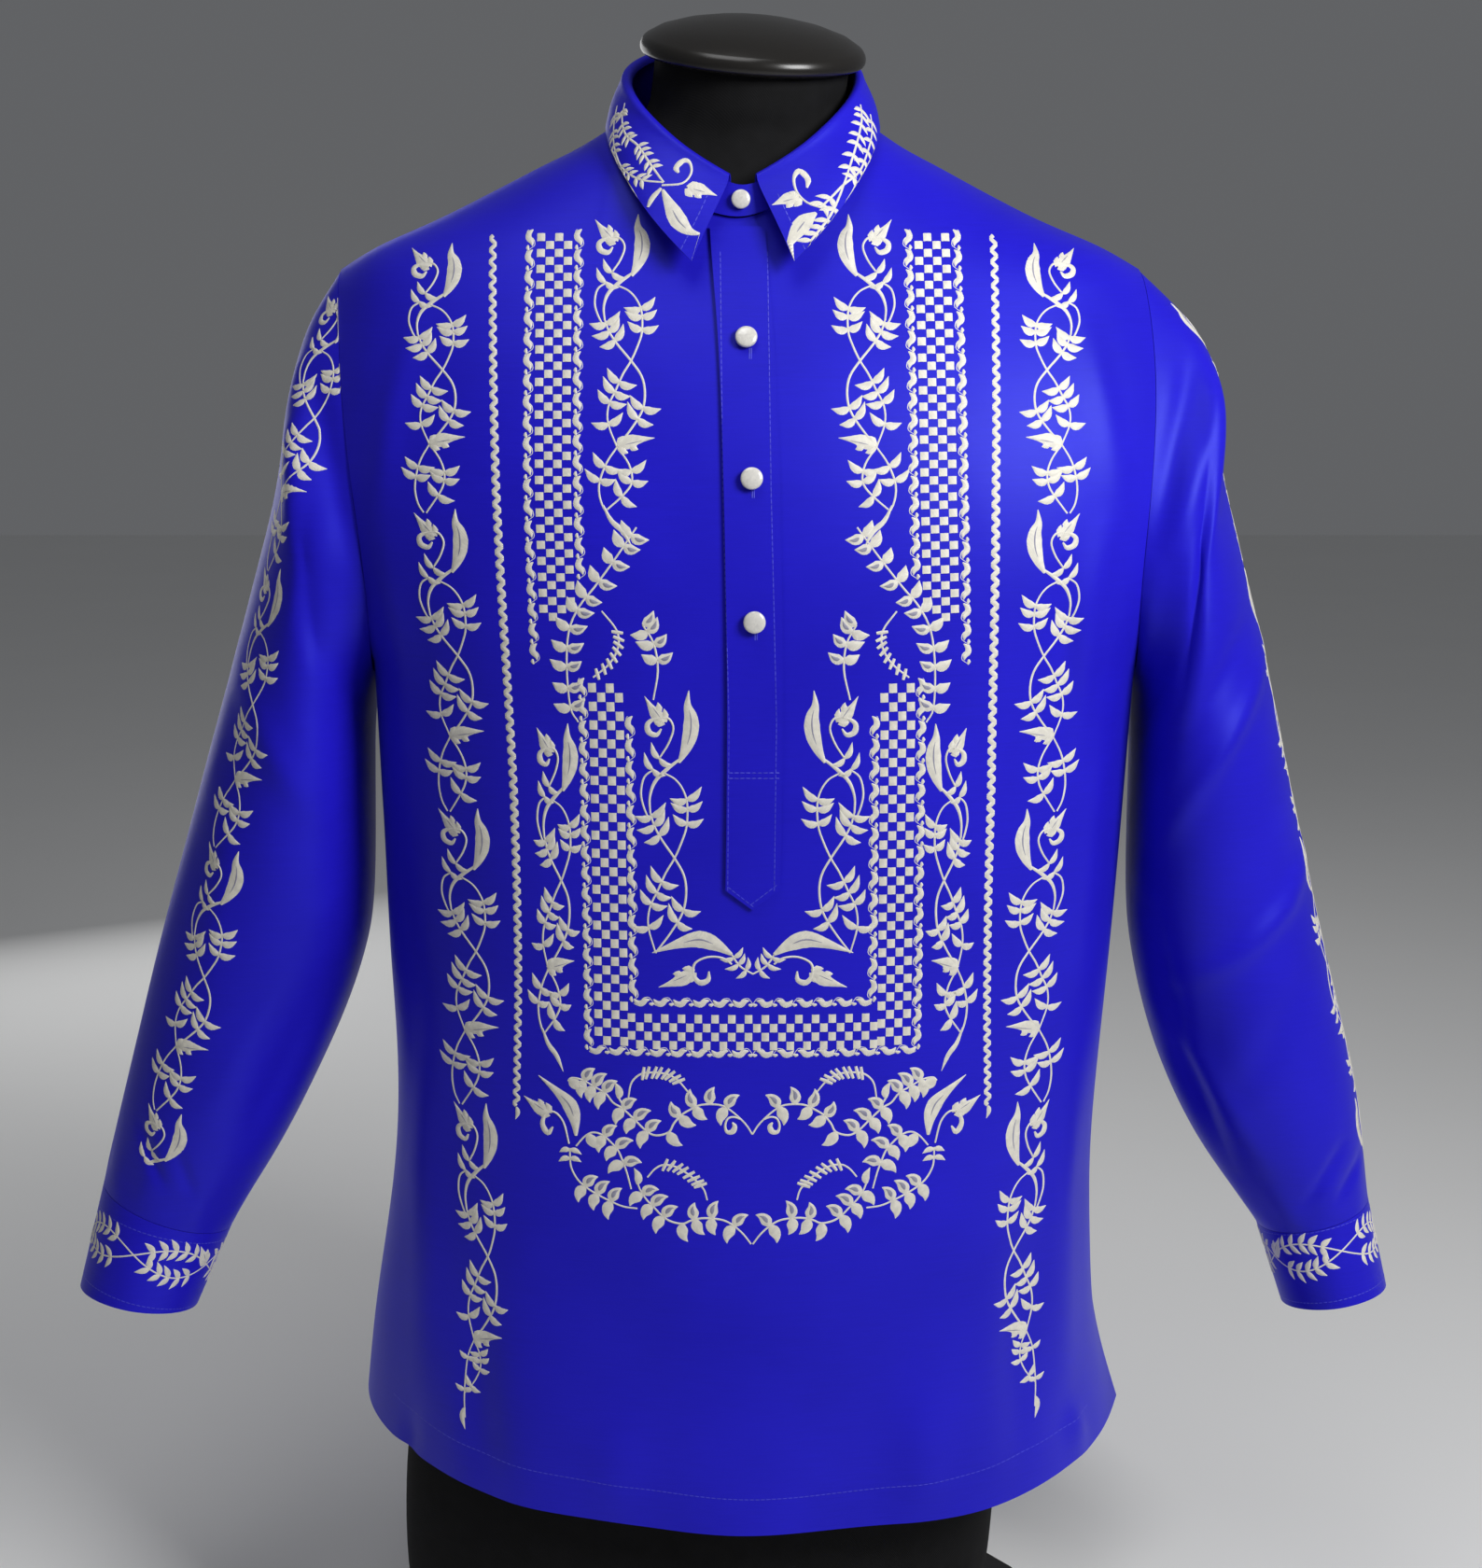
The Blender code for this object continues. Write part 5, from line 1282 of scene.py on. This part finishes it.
BAND_CENTRE = ((0.0000, 0.920), (0.0021, 0.760), (0.0052, 0.640), (0.0042, 0.530))
BAND_EDGE, BAND_POINT, BAND_END, BAND_TOP = 12.6, 539, 549, 884
BAND_ROWS = (
    ((-BAND_EDGE, BAND_TOP), (-BAND_EDGE, BAND_END)),
    ((BAND_EDGE, BAND_TOP), (BAND_EDGE, BAND_END)),
    ((-BAND_EDGE, BAND_END), (0, BAND_POINT)),
    ((0, BAND_POINT), (BAND_EDGE, BAND_END)),
    ((-BAND_EDGE, 612), (BAND_EDGE, 612)),
    ((-BAND_EDGE, 609), (BAND_EDGE, 609)),
)
HEM_ROW = ((-208, 221), (-160, 210), (-100, 203), (0, 196.5), (100, 198), (160, 202), (208, 208))
CUFF_ROWS = (((-128, 5), (128, 5)), ((-128, 48), (128, 48)))
LEAF_EDGE = ((-27, 884), (-40, 898), (-58, 917), (-76, 934))
LEAF_FRONT = ((-17.5, 914), (-21.5, 900), (-25.5, 887))


def laid_rows(lay, paths, line=UPRIGHT, mirror=1):
    """Stitch rows along these paths, each stitch with the way it is laid."""
    return [(lay, item) for path in paths for _, item in placed(stitch_row(path), line, 0.0, mirror)]


rows = laid_rows(on_front, BAND_ROWS, BAND_CENTRE) + laid_rows(on_front, (HEM_ROW,))
for side in ("left", "right"):
    rows += laid_rows(around_cuff[side], CUFF_ROWS)
for mirror in (1, -1):
    rows += laid_rows(around_collar, (LEAF_EDGE, LEAF_FRONT), mirror=mirror)
sew("stitching", rows, BLUE_THREAD)

# %% [markdown]
# ## Buttons
#
# A shirt button of pearl shell is a turned disc with a rounded rim and a shallow dome. One is modelled by
# hand and copied to each place, with its back just off the cloth. Below each placket button shows the end
# of its buttonhole, a short bar of thread.

# %% Buttons
BUTTON_RADIUS, BUTTON_HEIGHT = 5.9 * MM, 3.0 * MM
BUTTON_DOME = ((0.10, 0.16), (0.22, 0.12), (0.26, 0.08), (0.2, 0.03))  # shares of the radius and height
COLLAR_BUTTON_SIZE = 0.86
SHANK_RADIUS, SHANK_HEIGHT = 2.2 * MM, 1.3 * MM


def cylinder(vertices, radius, depth, middle):
    """A new upright cylinder whose middle is at this height."""
    bpy.ops.object.select_all(action="DESELECT")
    bpy.ops.mesh.primitive_cylinder_add(vertices=vertices, radius=radius, depth=depth,
                                        location=(0, 0, middle))
    return bpy.context.object


def raise_dome(disc, steps, radius, height):
    """Insets the top face step by step and raises what is left of it."""
    bpy.ops.object.mode_set(mode="EDIT")
    bpy.ops.mesh.select_all(action="DESELECT")
    mesh = bmesh.from_edit_mesh(disc.data)
    for face in mesh.faces:
        face.select = face.normal.z > 0.9
    bmesh.update_edit_mesh(disc.data)
    for inset, rise in steps:
        bpy.ops.mesh.inset(thickness=inset * radius)
        bpy.ops.transform.translate(value=(0, 0, rise * height))
    bpy.ops.object.mode_set(mode="OBJECT")


def round_edges(piece, width, segments):
    modify(piece, "BEVEL", width=width, segments=segments, limit_method="ANGLE", angle_limit=math.radians(50))


def turned_button():
    """A disc on a short shank, with its dome pulled out of the top face."""
    disc = cylinder(48, BUTTON_RADIUS, BUTTON_HEIGHT * 0.6, SHANK_HEIGHT + BUTTON_HEIGHT * 0.3)
    raise_dome(disc, BUTTON_DOME, BUTTON_RADIUS, BUTTON_HEIGHT)
    round_edges(disc, 0.5 * MM, 3)
    shank = cylinder(24, SHANK_RADIUS, SHANK_HEIGHT, SHANK_HEIGHT / 2)
    pick(disc, shank)
    bpy.ops.object.join()
    bpy.ops.object.transform_apply(location=True, rotation=True, scale=True)
    bpy.ops.object.shade_smooth_by_angle(angle=math.radians(35))
    disc.data.materials.append(PEARL)
    return disc


def button_seat(node):
    """The place on the cloth that is nearest a packed button, and the way the button faces there."""
    low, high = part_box(node)
    centre = (Vector(low) + Vector(high)) / 2
    cloth = Skin(band if "placket" in node else stand if "collar" in node else cuffs[node.split("_")[-1]])
    seat, normal = cloth.tree.find_nearest(centre)[:2]
    outwards = normal if normal.dot(centre - seat) > 0 else -normal
    return seat, outwards


master = turned_button()
button_nodes = [name for name in nodes if name.startswith("button")]
for node in button_nodes:
    copy = bpy.data.objects.new(f"pearl_{node}", master.data.copy())
    bpy.context.scene.collection.objects.link(copy)
    seat, outwards = button_seat(node)
    turn = outwards.to_track_quat("Z", "Y")
    size = COLLAR_BUTTON_SIZE if "collar" in node else 1.0
    for vertex in copy.data.vertices:
        vertex.co = seat + turn @ vertex.co * size + outwards * 0.2 * MM
    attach(copy, "root")
    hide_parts(node)
bpy.data.objects.remove(master)
print("buttons:", len(button_nodes))

PLACKET_BUTTONS = ((0.0039, 0.838), (0.0053, 0.767), (0.0068, 0.693))
HOLE_TOP, HOLE_FOOT = 4, 9.5  # millimetres below the button's middle
bars = []
for x, z in PLACKET_BUTTONS:
    for aside in (-0.5, 0.5):
        path = [(x / MM + aside, z / MM - below) for below in (HOLE_TOP, HOLE_FOOT)]
        bars.append(("stitch", stroke(path, (1.0, 1.0), 0.8, 0.3 * MM)))
sew("buttonholes", [(on_front, item) for _, item in placed(bars, UPRIGHT)], BLUE_THREAD)

# %% [markdown]
# ## The dress form
#
# The form's body is one smooth padded surface under jersey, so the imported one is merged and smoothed. Its
# neck cap is turned anew, because a polished cap shows every facet: a disc with a rounded rim and a low
# dome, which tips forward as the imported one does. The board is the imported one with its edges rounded.

# %% Form
CAP_RADIUS, CAP_SIDE, CAP_DOME = 62.8 * MM, 8.0 * MM, 15.0 * MM
CAP_STEPS = ((0.16, 0.40), (0.20, 0.27), (0.22, 0.18), (0.20, 0.10), (0.12, 0.03))
CAP_TILT, CAP_ROLL = math.radians(14), math.radians(4)
CAP_MIDDLE = Vector((0.0057, -0.0040, 0.9932))  # of its side, below the dome
CAP_UP = Vector((math.sin(CAP_ROLL), -math.sin(CAP_TILT), math.cos(CAP_TILT))).normalized()


def dress(piece, node, material):
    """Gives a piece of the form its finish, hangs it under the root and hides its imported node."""
    piece.data.materials.append(material)
    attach(piece, "root")
    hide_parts(node)
    print(f"{piece.name}: {len(piece.data.polygons)} faces")


form = merged_copy("form_body", "dress_form")
modify(form, "SUBSURF", levels=2, render_levels=2)
pick(form)
bpy.ops.object.shade_smooth()
dress(form, "form_body", JERSEY)

cap = cylinder(96, CAP_RADIUS, CAP_SIDE, 0)
cap.name = "neck_cap"
raise_dome(cap, CAP_STEPS, CAP_RADIUS, CAP_DOME)
round_edges(cap, 3.8 * MM, 8)
bpy.ops.object.shade_smooth_by_angle(angle=math.radians(40))
cap.rotation_euler = CAP_UP.to_track_quat("Z", "Y").to_euler()
cap.location = CAP_MIDDLE
pick(cap)
bpy.ops.object.transform_apply(location=True, rotation=True, scale=True)
dress(cap, "form_neck_cap", BLACK_GLOSS)

board = merged_copy("form_board", "oval_board")
round_edges(board, 2.5 * MM, 3)
pick(board)
bpy.ops.object.shade_smooth_by_angle(angle=math.radians(35))
dress(board, "form_board", BOARD_LACQUER)
